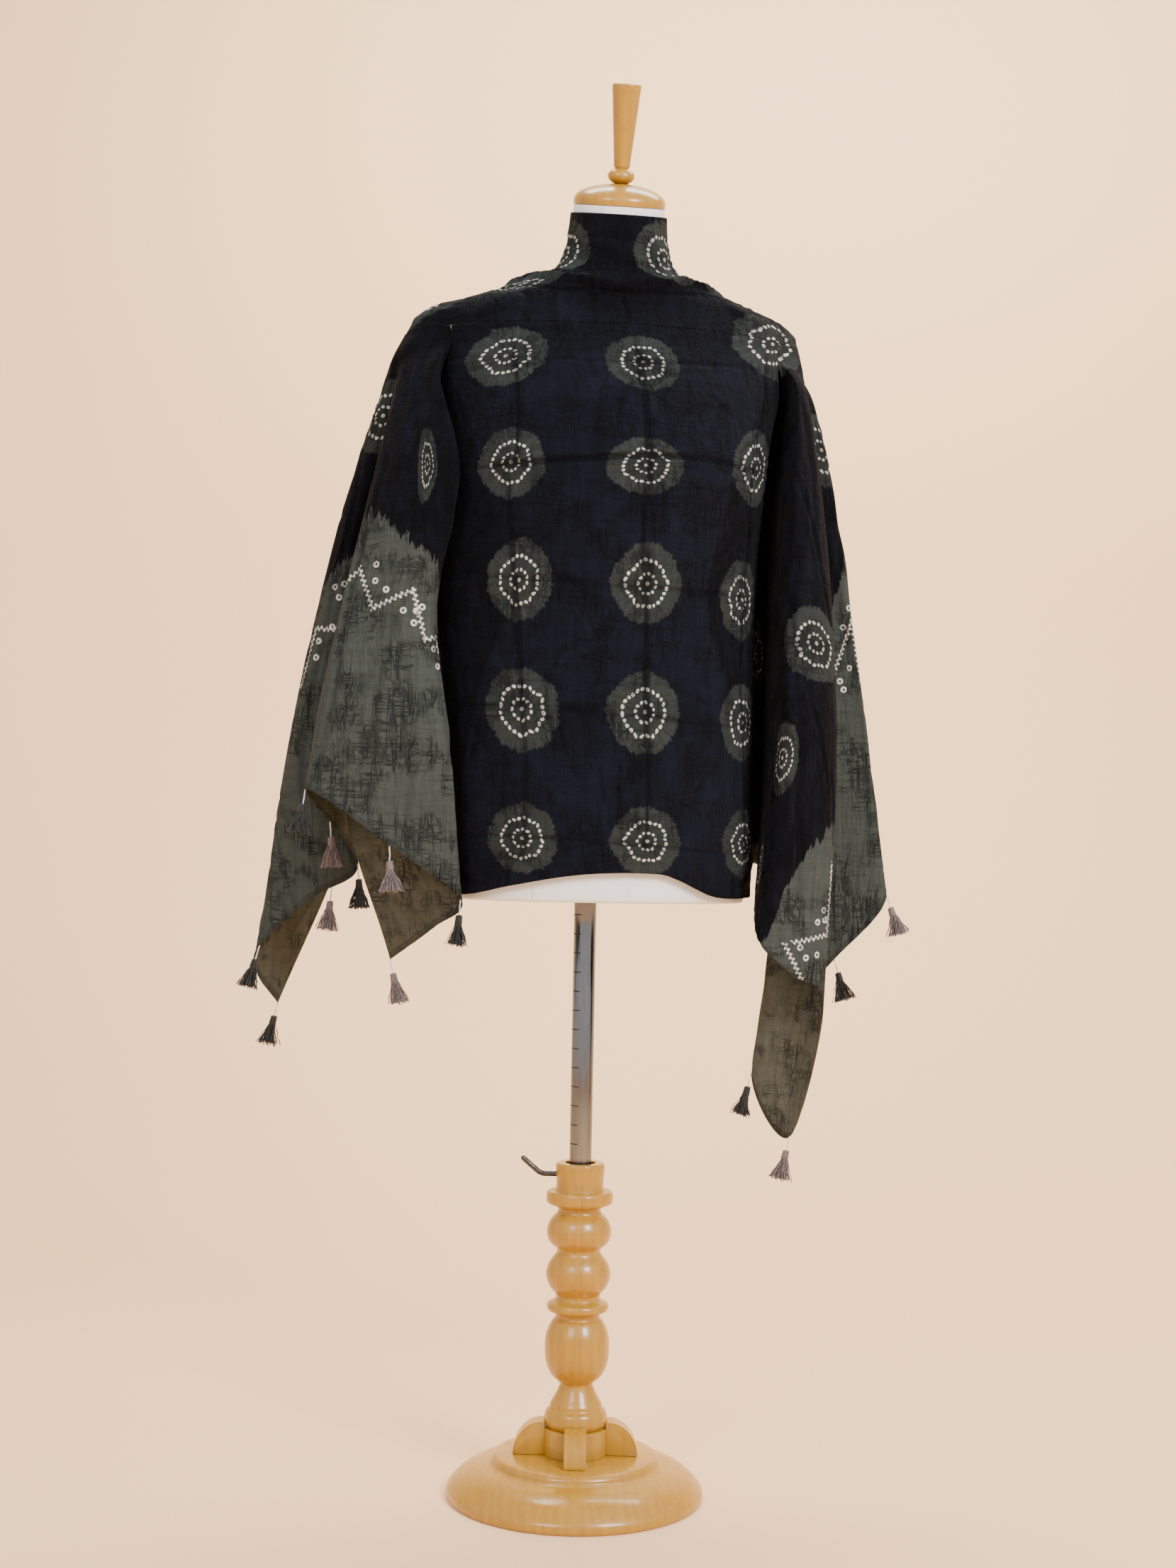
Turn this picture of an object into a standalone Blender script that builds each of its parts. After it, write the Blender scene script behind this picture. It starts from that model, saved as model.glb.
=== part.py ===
"""A bandhani dupatta stole, draped over a limbless dress form on a turned wooden pedestal.

Metres, +Z up. The origin is the centre of the pedestal's underside, the front faces -Y, and
left and right are the viewer's. The form faces 14 degrees towards +X.
"""

import math
from collections import namedtuple

import bmesh
import bpy
from mathutils import Matrix, Vector
from mathutils.bvhtree import BVHTree

# Driving dimensions

CLOTH_WALL = 0.0015
CLOTH_CLEARANCE = 0.0025
SEAM = 0.0003
FIT = 0.0003

POLE_RADIUS = 0.0125
POLE_FOOT = 0.160
SOCKET_TOP = 0.3752
BORE_RADIUS = 0.0130
MOUTH_RADIUS = 0.0172
MOUTH_DEPTH = 0.030
BORE_FLOOR = 0.055

BASE_RADIUS = 0.144
PLATEAU_HEIGHT = 0.048
BLOCK_RADIUS = 0.0365
BLOCK_TOP = 0.078
WING_THICKNESS = 0.024
WING_REACH = 0.070
WING_HEIGHT = 0.037

LEVER_HEIGHT = 0.362
LEVER_RADIUS = 0.003
LEVER_ELBOW = -0.0446
LEVER_TIP = (-0.0665, 0.381)

FORM_YAW = math.radians(14)
FORM_CENTRE = Vector((0.018, -0.012, 0.0))
FORM_BOTTOM = 0.671
FORM_TOP = 1.444
FORM_SOCKET = 0.060
NECK_TILT = 17.0
FORM_LEAN = 1.7

CAP_RADIUS = 0.0515
CAP_HEIGHT = 0.025
BALL_RADIUS = 0.015
BALL_HEIGHT = 0.016
HANDLE_LENGTH = 0.088

YOKE_TOP = 1.435
YOKE_EDGE = 1.300
YOKE_LEFT = -138.0
YOKE_RIGHT = 176.0
FOLD_START = 0.018
SHOULDER_HEIGHT = 1.327
SHOULDER_ANGLE = 98.0
SHOULDER_SPAN = 30.0
SHOULDER_LIFT_LEFT = 0.030
SHOULDER_LIFT_RIGHT = 0.020
PANEL_TOP_ANGLE = 67.5
YOKE_COLUMNS = 32
FRONT_COLUMNS = 26
FRONT_ROWS = 16
LEFT_COLUMNS = 25
RIGHT_COLUMNS = 34
FALL_ROWS = 15

TASSEL_STRANDS = 7
HANG_STEPS = 30
STRING_LENGTH = 0.017
STRING_RADIUS = 0.0006
HEAD_RADIUS = 0.0042
HEAD_LENGTH = 0.008
SKIRT_LENGTH = 0.025
SKIRT_SPREAD = 1.9

SIDE = Vector((math.cos(FORM_YAW), math.sin(FORM_YAW), 0.0))
FACING = Vector((math.sin(FORM_YAW), -math.cos(FORM_YAW), 0.0))

# Tables

# The form's level sections, bottom to top: height, half width, depth to the front and to the
# back of the centre, how far the centre leans forward, and the section's forward tilt.
Section = namedtuple("Section", "z half_width front back forward tilt")
FORM_SECTIONS = (
    Section(FORM_BOTTOM, 0.163, 0.105, 0.098, 0.000, 0.0),
    Section(0.740, 0.166, 0.108, 0.108, 0.000, 0.0),
    Section(0.820, 0.162, 0.105, 0.110, 0.000, 0.0),
    Section(0.910, 0.143, 0.094, 0.098, 0.000, 0.0),
    Section(0.990, 0.118, 0.083, 0.079, 0.000, 0.0),
    Section(1.060, 0.126, 0.094, 0.083, 0.000, 0.0),
    Section(1.125, 0.143, 0.111, 0.091, 0.000, 0.0),
    Section(1.170, 0.157, 0.110, 0.095, 0.000, 0.0),
    Section(1.216, 0.175, 0.098, 0.096, 0.000, 0.0),
    Section(1.260, 0.192, 0.083, 0.090, 0.000, 0.0),
    Section(1.300, 0.202, 0.069, 0.080, 0.001, 0.0),
    Section(1.318, 0.199, 0.059, 0.069, 0.003, 0.0),
    Section(1.335, 0.167, 0.055, 0.062, 0.005, 1.0),
    Section(1.350, 0.118, 0.053, 0.057, 0.008, 3.0),
    Section(1.367, 0.074, 0.052, 0.054, 0.011, 6.0),
    Section(1.391, 0.057, 0.052, 0.053, 0.014, 11.0),
    Section(1.419, 0.052, 0.0515, 0.0515, 0.017, 15.0),
    Section(FORM_TOP, 0.0505, 0.0505, 0.0505, 0.020, NECK_TILT),
)

# The front panel hangs clear of the form below the bust: its reach to the left, to the right
# and to the front of the form's centre at each height, and the angle of its two sides.
Drape = namedtuple("Drape", "z left right front widest")
PANEL_SECTIONS = (
    Drape(1.240, 0.1965, 0.1950, 0.0985, 78),
    Drape(1.190, 0.1960, 0.1850, 0.1130, 88),
    Drape(1.130, 0.1955, 0.1780, 0.1190, 90),
    Drape(1.060, 0.1970, 0.1720, 0.1150, 90),
    Drape(0.990, 0.1950, 0.1700, 0.1090, 90),
    Drape(0.910, 0.1890, 0.1700, 0.1090, 90),
    Drape(0.820, 0.1830, 0.1700, 0.1140, 90),
    Drape(0.750, 0.1790, 0.1715, 0.1160, 90),
    Drape(0.700, 0.1740, 0.1705, 0.1165, 90),
)

# The panel's hem: the place along it from its left side to its right side, and the height.
Hem = namedtuple("Hem", "place z")
PANEL_HEM = (
    Hem(0.00, 0.675),
    Hem(0.15, 0.679),
    Hem(0.25, 0.688),
    Hem(0.42, 0.702),
    Hem(0.58, 0.702),
    Hem(0.64, 0.690),
    Hem(0.72, 0.678),
    Hem(1.00, 0.680),
)

# Each line of a fall runs from the yoke's edge to the end hem or the selvage. The angle is where
# it leaves the yoke, from the form's front; the other columns are the places it passes.
Line = namedtuple("Line", "name angle shoulder chest waist hip hem")
LEFT_FALL = (
    Line("inner_edge", -68.6, (-0.1690, -0.077, 1.240), (-0.177, -0.054, 1.120),
         (-0.196, -0.050, 0.985), (-0.268, -0.044, 0.800), (-0.216, -0.034, 0.602)),
    Line("inner_face", -71, (-0.1710, -0.092, 1.240), (-0.174, -0.093, 1.120),
         (-0.182, -0.086, 0.985), (-0.207, -0.086, 0.815), (-0.165, -0.082, 0.640)),
    Line("front_right_fold", -74, (-0.170, -0.108, 1.240), (-0.143, -0.133, 1.125),
         (-0.166, -0.121, 0.985), (-0.148, -0.124, 0.840), (-0.134, -0.114, 0.671)),
    Line("front_face", -79, (-0.190, -0.096, 1.240), (-0.188, -0.128, 1.125),
         (-0.208, -0.132, 0.985), (-0.218, -0.140, 0.860), (-0.209, -0.140, 0.728)),
    Line("front_left_fold", -84, (-0.212, -0.081, 1.240), (-0.238, -0.093, 1.125),
         (-0.268, -0.100, 0.990), (-0.289, -0.108, 0.885), (-0.303, -0.112, 0.787)),
    Line("valley", -89, (-0.219, -0.058, 1.240), (-0.232, -0.047, 1.120),
         (-0.246, -0.038, 0.985), (-0.262, -0.030, 0.850), (-0.256, -0.014, 0.706)),
    Line("outer_face", -94, (-0.230, -0.048, 1.240), (-0.262, -0.040, 1.120),
         (-0.290, -0.034, 0.975), (-0.314, -0.030, 0.830), (-0.306, -0.026, 0.668)),
    Line("outer_fold", -99, (-0.236, -0.028, 1.240), (-0.278, -0.014, 1.110),
         (-0.315, -0.004, 0.960), (-0.346, 0.004, 0.790), (-0.368, 0.008, 0.612)),
    Line("back_face", -106, (-0.230, 0.002, 1.240), (-0.268, 0.024, 1.110),
         (-0.300, 0.038, 0.955), (-0.326, 0.050, 0.775), (-0.374, 0.038, 0.578)),
    Line("back_selvage", -116, (-0.204, 0.030, 1.240), (-0.232, 0.052, 1.110),
         (-0.256, 0.066, 0.950), (-0.276, 0.074, 0.750), (-0.354, 0.062, 0.544)),
)
RIGHT_FALL = (
    Line("seam", 68.6, (0.2120, 0.0170, 1.240), (0.1940, 0.0350, 1.120),
         (0.1865, 0.0340, 0.985), (0.1870, 0.0340, 0.850), (0.1870, 0.0340, 0.700)),
    Line("valley", 70.6, (0.2190, 0.0200, 1.240), (0.2030, 0.0480, 1.120),
         (0.1980, 0.0580, 0.985), (0.1990, 0.0620, 0.850), (0.2000, 0.0600, 0.738)),
    Line("front_left_fold", 73, (0.2260, -0.018, 1.240), (0.217, -0.046, 1.125),
         (0.214, -0.062, 0.985), (0.207, -0.068, 0.830), (0.187, -0.068, 0.642)),
    Line("front_face", 76, (0.233, -0.016, 1.240), (0.237, -0.048, 1.125),
         (0.243, -0.066, 0.985), (0.243, -0.072, 0.830), (0.224, -0.068, 0.598)),
    Line("front_right_fold", 79.5, (0.239, -0.006, 1.240), (0.256, -0.026, 1.120),
         (0.269, -0.038, 0.975), (0.275, -0.042, 0.810), (0.266, -0.040, 0.560)),
    Line("corner", 83, (0.239, 0.008, 1.240), (0.251, 0.000, 1.115),
         (0.256, -0.004, 0.960), (0.256, -0.006, 0.770), (0.235, -0.004, 0.409)),
    Line("inner_fold", 86.5, (0.237, 0.020, 1.240), (0.239, 0.022, 1.110),
         (0.232, 0.022, 0.950), (0.222, 0.020, 0.730), (0.192, 0.014, 0.478)),
    Line("inner_face", 90, (0.241, 0.031, 1.240), (0.250, 0.041, 1.110),
         (0.250, 0.044, 0.955), (0.250, 0.046, 0.760), (0.242, 0.046, 0.560)),
    Line("outer_face", 94, (0.246, 0.038, 1.240), (0.266, 0.047, 1.110),
         (0.280, 0.050, 0.960), (0.288, 0.052, 0.790), (0.288, 0.052, 0.607)),
    Line("outer_fold", 98, (0.254, 0.051, 1.240), (0.285, 0.059, 1.110),
         (0.306, 0.062, 0.970), (0.328, 0.064, 0.830), (0.348, 0.060, 0.683)),
    Line("back_face", 108, (0.240, 0.073, 1.240), (0.260, 0.088, 1.110),
         (0.272, 0.094, 0.980), (0.281, 0.098, 0.860), (0.288, 0.098, 0.745)),
    Line("back_fold", 122, (0.208, 0.098, 1.240), (0.215, 0.112, 1.110),
         (0.218, 0.120, 0.980), (0.222, 0.126, 0.850), (0.226, 0.130, 0.712)),
    Line("back_panel", 140, (0.143, 0.108, 1.240), (0.143, 0.118, 1.110),
         (0.140, 0.122, 0.980), (0.142, 0.132, 0.860), (0.148, 0.138, 0.735)),
    Line("back_selvage", 158, (0.072, 0.105, 1.240), (0.068, 0.113, 1.110),
         (0.062, 0.116, 0.980), (0.058, 0.124, 0.865), (0.058, 0.132, 0.760)),
)

# The end hems' tassels, each with the place along its fall's lines where it hangs.
Tassel = namedtuple("Tassel", "name line dark")
LEFT_TASSELS = (
    Tassel("tassel_left_1", 9.0, True),
    Tassel("tassel_left_2", 7.0, True),
    Tassel("tassel_left_3", 5.65, False),
    Tassel("tassel_left_4", 5.0, True),
    Tassel("tassel_left_5", 4.5, False),
    Tassel("tassel_left_6", 4.0, True),
    Tassel("tassel_left_7", 3.0, False),
    Tassel("tassel_left_8", 2.0, True),
    Tassel("tassel_left_9", 0.0, False),
)
RIGHT_TASSELS = (
    Tassel("tassel_right_1", 5.0, False),
    Tassel("tassel_right_2", 6.0, True),
    Tassel("tassel_right_3", 7.0, False),
    Tassel("tassel_right_4", 8.0, True),
    Tassel("tassel_right_5", 9.0, False),
    Tassel("tassel_right_6", 10.0, True),
    Tassel("tassel_right_7", 11.0, False),
    Tassel("tassel_right_8", 12.0, True),
    Tassel("tassel_right_9", 13.0, False),
)

# Turned profiles, bottom to top

Turn = namedtuple("Turn", "radius z")
BASE_PROFILE = (
    Turn(0.1415, 0.0000),
    Turn(0.1440, 0.0025),
    Turn(0.1440, 0.0095),
    Turn(0.1395, 0.0160),
    Turn(0.1280, 0.0265),
    Turn(0.1120, 0.0345),
    Turn(0.0950, 0.0395),
    Turn(0.0935, 0.0435),
    Turn(0.0905, 0.0470),
    Turn(0.0870, 0.0480),
)
BALUSTER_PROFILE = (
    Turn(0.0320, 0.0783),
    Turn(0.0350, 0.0825),
    Turn(0.0355, 0.0885),
    Turn(0.0335, 0.0960),
    Turn(0.0295, 0.1005),
    Turn(0.0290, 0.1040),
    Turn(0.0240, 0.1130),
    Turn(0.0195, 0.1230),
    Turn(0.0190, 0.1270),
    Turn(0.0290, 0.1370),
    Turn(0.0350, 0.1510),
    Turn(0.0365, 0.1670),
    Turn(0.0350, 0.1830),
    Turn(0.0290, 0.1965),
    Turn(0.0250, 0.2015),
    Turn(0.0255, 0.2060),
    Turn(0.0335, 0.2095),
    Turn(0.0350, 0.2136),
    Turn(0.0335, 0.2175),
    Turn(0.0255, 0.2215),
    Turn(0.0250, 0.2265),
    Turn(0.0330, 0.2370),
    Turn(0.0365, 0.2500),
    Turn(0.0330, 0.2630),
    Turn(0.0250, 0.2740),
    Turn(0.0250, 0.2780),
    Turn(0.0335, 0.2865),
    Turn(0.0365, 0.2980),
    Turn(0.0325, 0.3110),
    Turn(0.0245, 0.3200),
    Turn(0.0245, 0.3245),
    Turn(0.0340, 0.3288),
    Turn(0.0370, 0.3310),
    Turn(0.0370, 0.3415),
    Turn(0.0350, 0.3437),
    Turn(0.0277, 0.3437),
    Turn(0.0275, SOCKET_TOP - 0.0015),
    Turn(0.0260, SOCKET_TOP),
)

# Materials: base colour, roughness, metallic


def material(name, colour, roughness, metallic=0.0):
    """A Principled finish."""
    mat = bpy.data.materials.new(name)
    mat.use_nodes = True
    shader = mat.node_tree.nodes["Principled BSDF"]
    shader.inputs["Base Color"].default_value = (*colour, 1.0)
    shader.inputs["Roughness"].default_value = roughness
    shader.inputs["Metallic"].default_value = metallic
    return mat


def build_materials():
    return {
        "wood": material("golden_wood", (0.62, 0.36, 0.13), 0.30),
        "chrome": material("chrome_pole", (0.62, 0.62, 0.62), 0.18, 1.0),
        "steel": material("lever_steel", (0.35, 0.35, 0.36), 0.35, 1.0),
        "cotton": material("form_cotton", (0.86, 0.86, 0.88), 0.85),
        "stole": material("stole_cotton", (0.012, 0.014, 0.024), 0.80),
        "dark": material("dark_thread", (0.010, 0.010, 0.012), 0.75),
        "mauve": material("mauve_thread", (0.36, 0.30, 0.32), 0.70),
    }


# Shared shapes


def add_object(name, mesh_builder, mat, smooth_angle=None):
    """Turns a bmesh into a named object with outward faces."""
    bmesh.ops.recalc_face_normals(mesh_builder, faces=mesh_builder.faces)
    mesh = bpy.data.meshes.new(name)
    mesh_builder.to_mesh(mesh)
    mesh_builder.free()
    if smooth_angle is not None:
        mesh.shade_smooth()
        mesh.set_sharp_from_angle(angle=math.radians(smooth_angle))
    mesh.materials.append(mat)
    obj = bpy.data.objects.new(name, mesh)
    bpy.context.scene.collection.objects.link(obj)
    return obj


def ring(mesh_builder, radius, z, count, centre=(0.0, 0.0)):
    """A level circle of points."""
    step = math.tau / count
    return [
        mesh_builder.verts.new(
            (centre[0] + radius * math.cos(i * step), centre[1] + radius * math.sin(i * step), z)
        )
        for i in range(count)
    ]


def bridge(mesh_builder, lower, upper):
    """Joins two closed loops of the same count with four-sided faces."""
    count = len(lower)
    for i in range(count):
        j = (i + 1) % count
        mesh_builder.faces.new((lower[i], lower[j], upper[j], upper[i]))


def turned(name, profile, count, mat, bore=None):
    """A lathe-turned body. A bore is its own profile, top to bottom, with a flat floor."""
    bm = bmesh.new()
    loops = [ring(bm, turn.radius, turn.z, count) for turn in profile]
    if bore:
        loops += [ring(bm, turn.radius, turn.z, count) for turn in bore]
    for lower, upper in zip(loops, loops[1:]):
        bridge(bm, lower, upper)
    bm.faces.new(loops[0])
    bm.faces.new(loops[-1])
    return add_object(name, bm, mat, smooth_angle=40)


def curve_at(points, place):
    """A point on a smooth curve through points, where whole places are the points themselves."""
    last = len(points) - 1
    index = min(int(place), last - 1)
    t = place - index
    p1, p2 = points[index], points[index + 1]
    p0 = points[index - 1] if index else p1 * 2 - p2
    p3 = points[index + 2] if index + 2 <= last else p2 * 2 - p1
    return (
        p1 * 2
        + (p2 - p0) * t
        + (p0 * 2 - p1 * 5 + p2 * 4 - p3) * t * t
        + (p1 * 3 - p0 - p2 * 3 + p3) * t * t * t
    ) * 0.5


def table_at(rows, key, value):
    """Reads a table of namedtuples smoothly at a value of its key column."""
    keys = [getattr(row, key) for row in rows]
    value = min(max(value, keys[0]), keys[-1])
    index = max(i for i in range(len(keys) - 1) if keys[i] <= value)
    span = keys[index + 1] - keys[index]
    t = (value - keys[index]) / span

    def slope(i, field):
        low = max(i - 1, 0)
        high = min(i + 1, len(rows) - 1)
        rise = getattr(rows[high], field) - getattr(rows[low], field)
        return rise / (keys[high] - keys[low])

    found = {}
    for field in rows[0]._fields:
        start = getattr(rows[index], field)
        end = getattr(rows[index + 1], field)
        found[field] = (
            start * (2 * t**3 - 3 * t**2 + 1)
            + slope(index, field) * span * (t**3 - 2 * t**2 + t)
            + end * (3 * t**2 - 2 * t**3)
            + slope(index + 1, field) * span * (t**3 - t**2)
        )
    return rows[0].__class__(**found)


def wall(name, grid, mat):
    """A closed wall of cloth on both sides of a grid of points."""
    rows, columns = len(grid), len(grid[0])
    front, back = [], []
    bm = bmesh.new()
    for i in range(rows):
        front.append([])
        back.append([])
        for j in range(columns):
            down = grid[min(i + 1, rows - 1)][j] - grid[max(i - 1, 0)][j]
            across = grid[i][min(j + 1, columns - 1)] - grid[i][max(j - 1, 0)]
            out = across.cross(down).normalized() * (CLOTH_WALL / 2)
            front[i].append(bm.verts.new(grid[i][j] + out))
            back[i].append(bm.verts.new(grid[i][j] - out))
    for i in range(rows - 1):
        for j in range(columns - 1):
            bm.faces.new((front[i][j], front[i + 1][j], front[i + 1][j + 1], front[i][j + 1]))
            bm.faces.new((back[i][j], back[i][j + 1], back[i + 1][j + 1], back[i + 1][j]))
    for j in range(columns - 1):
        bm.faces.new((front[0][j], front[0][j + 1], back[0][j + 1], back[0][j]))
        bm.faces.new((front[-1][j + 1], front[-1][j], back[-1][j], back[-1][j + 1]))
    for i in range(rows - 1):
        bm.faces.new((front[i + 1][0], front[i][0], back[i][0], back[i + 1][0]))
        bm.faces.new((front[i][-1], front[i + 1][-1], back[i + 1][-1], back[i][-1]))
    return add_object(name, bm, mat, smooth_angle=60)


# Pedestal


def build_base(mats):
    turned("base_disc", BASE_PROFILE, 36, mats["wood"])
    block = (
        Turn(BLOCK_RADIUS, PLATEAU_HEIGHT + FIT),
        Turn(BLOCK_RADIUS, BLOCK_TOP - 0.001),
        Turn(BLOCK_RADIUS - 0.001, BLOCK_TOP),
    )
    floor = (
        Turn(BORE_RADIUS, BLOCK_TOP),
        Turn(BORE_RADIUS, BORE_FLOOR),
    )
    turned("foot_block", block, 24, mats["wood"], bore=floor)
    for name, turn in (("right", 0), ("back", 90), ("left", 180), ("front", 270)):
        build_wing("base_wing_" + name, math.radians(turn), mats["wood"])


def build_wing(name, turn, mat):
    """A quarter-round bracket between the block and the plateau."""
    foot = PLATEAU_HEIGHT + FIT
    inner = BLOCK_RADIUS * 1.009 + FIT
    reach = WING_REACH - inner
    outline = [(inner, foot), (WING_REACH, foot)]
    for i in range(1, 7):
        angle = math.radians(15 * i)
        outline.append((inner + reach * math.cos(angle), foot + WING_HEIGHT * math.sin(angle)))
    bm = bmesh.new()
    sides = []
    for y in (-WING_THICKNESS / 2, WING_THICKNESS / 2):
        sides.append([bm.verts.new((x, y, z)) for x, z in outline])
    bm.faces.new(sides[0])
    bm.faces.new(sides[1])
    bridge(bm, sides[0], sides[1])
    bmesh.ops.rotate(bm, verts=bm.verts, matrix=Matrix.Rotation(turn, 3, "Z"))
    return add_object(name, bm, mat, smooth_angle=40)


def build_baluster(mats):
    """The turned column, bored for the pole, with a cross hole for the lever."""
    bore = (
        Turn(MOUTH_RADIUS, SOCKET_TOP),
        Turn(MOUTH_RADIUS, SOCKET_TOP - MOUTH_DEPTH),
        Turn(BORE_RADIUS, SOCKET_TOP - MOUTH_DEPTH - 0.002),
        Turn(BORE_RADIUS, BALUSTER_PROFILE[0].z),
    )
    bm = bmesh.new()
    profile = BALUSTER_PROFILE + bore
    loops = [ring(bm, turn.radius, turn.z, 20) for turn in profile]
    for lower, upper in zip(loops, loops[1:] + loops[:1]):
        bridge(bm, lower, upper)
    column = add_object("baluster", bm, mats["wood"], smooth_angle=40)
    cutter_mesh = bmesh.new()
    ends = []
    for x in (-0.040, -0.006):
        ends.append([
            cutter_mesh.verts.new((x, y, LEVER_HEIGHT + z))
            for y, z in circle(LEVER_RADIUS + FIT * 1.6, 10)
        ])
    bridge(cutter_mesh, ends[0], ends[1])
    cutter_mesh.faces.new(ends[0])
    cutter_mesh.faces.new(ends[1])
    cutter = add_object("lever_hole", cutter_mesh, mats["wood"])
    cutter.hide_render = True
    cutter.display_type = "WIRE"
    cut = column.modifiers.new("lever_hole", "BOOLEAN")
    cut.operation = "DIFFERENCE"
    cut.object = cutter
    return column


def circle(radius, count):
    """The points of a circle, in a plane."""
    step = math.tau / count
    return [(radius * math.cos(i * step), radius * math.sin(i * step)) for i in range(count)]


def build_pole(mats):
    top = FORM_BOTTOM + FORM_SOCKET - FIT
    profile = (
        Turn(POLE_RADIUS - 0.001, POLE_FOOT),
        Turn(POLE_RADIUS, POLE_FOOT + 0.001),
        Turn(POLE_RADIUS, top - 0.001),
        Turn(POLE_RADIUS - 0.001, top),
    )
    turned("pole", profile, 24, mats["chrome"])


def build_lever(mats):
    """The bent rod that clamps the pole."""
    bend = 0.006
    start = Vector((-POLE_RADIUS - FIT, 0.0, LEVER_HEIGHT))
    elbow = Vector((LEVER_ELBOW, 0.0, LEVER_HEIGHT))
    tip = Vector((LEVER_TIP[0], 0.0, LEVER_TIP[1]))
    rise = (tip - elbow).normalized()
    path = [start, elbow + Vector((bend, 0.0, 0.0)), elbow + (Vector((bend, 0, 0)) + rise * bend) / 4,
            elbow + rise * bend, tip]
    bm = bmesh.new()
    loops = []
    for i, point in enumerate(path):
        heading = (path[min(i + 1, 4)] - path[max(i - 1, 0)]).normalized()
        up = heading.cross(Vector((0.0, 1.0, 0.0)))
        loops.append([
            bm.verts.new(point + Vector((0.0, 1.0, 0.0)) * a + up * b)
            for a, b in circle(LEVER_RADIUS, 10)
        ])
    for lower, upper in zip(loops, loops[1:]):
        bridge(bm, lower, upper)
    bm.faces.new(loops[0])
    bm.faces.new(loops[-1])
    add_object("clamp_lever", bm, mats["steel"], smooth_angle=40)


# Dress form


def form_point(angle, z):
    """A point of the form's surface. The angle is in degrees from the front, positive to the right."""
    section = table_at(FORM_SECTIONS, "z", z)
    turn = math.radians(angle)
    depth = section.front if math.cos(turn) > 0 else section.back
    across = section.half_width * math.sin(turn)
    ahead = depth * math.cos(turn)
    drop = math.tan(math.radians(section.tilt)) * ahead
    lean = math.tan(math.radians(FORM_LEAN)) * across * (z - FORM_BOTTOM) / (FORM_TOP - FORM_BOTTOM)
    point = FORM_CENTRE + SIDE * across + FACING * (ahead + section.forward)
    return Vector((point.x, point.y, z - drop + lean))


def over_form(angle, z, clear):
    """A point lifted off the form along its surface's own direction."""
    point = form_point(angle, z)
    around = form_point(angle + 2, z) - form_point(angle - 2, z)
    upward = form_point(angle, min(z + 0.003, FORM_TOP)) - form_point(angle, z - 0.003)
    return point + around.cross(upward).normalized() * clear


def build_form(mats):
    """The limbless torso, closed below by a plate with the pole's socket."""
    count = 30
    heights = [section.z for section in FORM_SECTIONS]
    heights += [0.950, 1.093, 1.327, 1.379]
    bm = bmesh.new()
    loops = [
        [bm.verts.new(form_point(i * 360 / count, z)) for i in range(count)]
        for z in sorted(heights)
    ]
    socket = []
    for z in (FORM_BOTTOM, FORM_BOTTOM + FORM_SOCKET):
        socket.append([])
        for i in range(count):
            turn = math.radians(i * 360 / count)
            spot = SIDE * math.sin(turn) + FACING * math.cos(turn)
            spot *= POLE_RADIUS + FIT * 1.5
            socket[-1].append(bm.verts.new((spot.x, spot.y, z)))
    chain = [socket[1], socket[0]] + loops
    for lower, upper in zip(chain, chain[1:]):
        bridge(bm, lower, upper)
    bm.faces.new(chain[0])
    bm.faces.new(chain[-1])
    add_object("form", bm, mats["cotton"], smooth_angle=50)


def neck_frame():
    """The plane of the neck's top: its centre, and the turn that lays +Z along its direction."""
    section = table_at(FORM_SECTIONS, "z", FORM_TOP)
    centre = FORM_CENTRE + FACING * section.forward
    lean = Matrix.Rotation(math.radians(FORM_LEAN), 4, FACING)
    tilt = Matrix.Rotation(math.radians(NECK_TILT), 4, SIDE)
    return Matrix.Translation((centre.x, centre.y, FORM_TOP)) @ lean @ tilt


def place_on_neck(obj):
    obj.matrix_world = neck_frame()
    bpy.context.view_layer.update()


def build_finial(mats):
    """The domed neck cap, and the ball and flared handle on it."""
    cap = [
        Turn(CAP_RADIUS - 0.0015, FIT),
        Turn(CAP_RADIUS, 0.0025),
        Turn(CAP_RADIUS, 0.0055),
    ]
    for i in range(1, 6):
        angle = math.radians(15 * i)
        cap.append(Turn(CAP_RADIUS * math.cos(angle), 0.0055 + (CAP_HEIGHT - 0.0055) * math.sin(angle)))
    seat = CAP_HEIGHT - 0.0004
    place_on_neck(turned("neck_cap", cap, 28, mats["wood"]))
    ball = []
    for i in range(5):
        angle = math.radians(-60 + 30 * i)
        rise = 0.5 + 0.5 * math.sin(angle) / math.sin(math.radians(60))
        ball.append(Turn(BALL_RADIUS * math.cos(angle), seat + FIT + BALL_HEIGHT * rise))
    top = ball[-1].z
    handle = (
        Turn(0.0090, top + 0.002),
        Turn(0.0094, top + 0.008),
        Turn(0.0120, top + HANDLE_LENGTH * 0.43),
        Turn(0.0150, top + HANDLE_LENGTH * 0.83),
        Turn(0.0160, top + HANDLE_LENGTH * 0.97),
        Turn(0.0156, top + HANDLE_LENGTH * 0.99),
        Turn(0.0140, top + HANDLE_LENGTH),
    )
    place_on_neck(turned("finial", tuple(ball) + handle, 16, mats["wood"]))


# Stole


def yoke_point(angle, z):
    """A point of the cloth on the shoulders, which stands off the two shoulder tips."""
    swing = min(abs(abs(angle) - SHOULDER_ANGLE) / SHOULDER_SPAN, 1.0)
    drop = min(max((SHOULDER_HEIGHT - z) / (SHOULDER_HEIGHT - YOKE_EDGE), 0.0), 1.6)
    lift = (SHOULDER_LIFT_LEFT if angle < 0 else SHOULDER_LIFT_RIGHT) * drop
    return over_form(angle, z, CLOTH_CLEARANCE + lift * math.cos(swing * math.pi / 2) ** 2)


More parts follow.
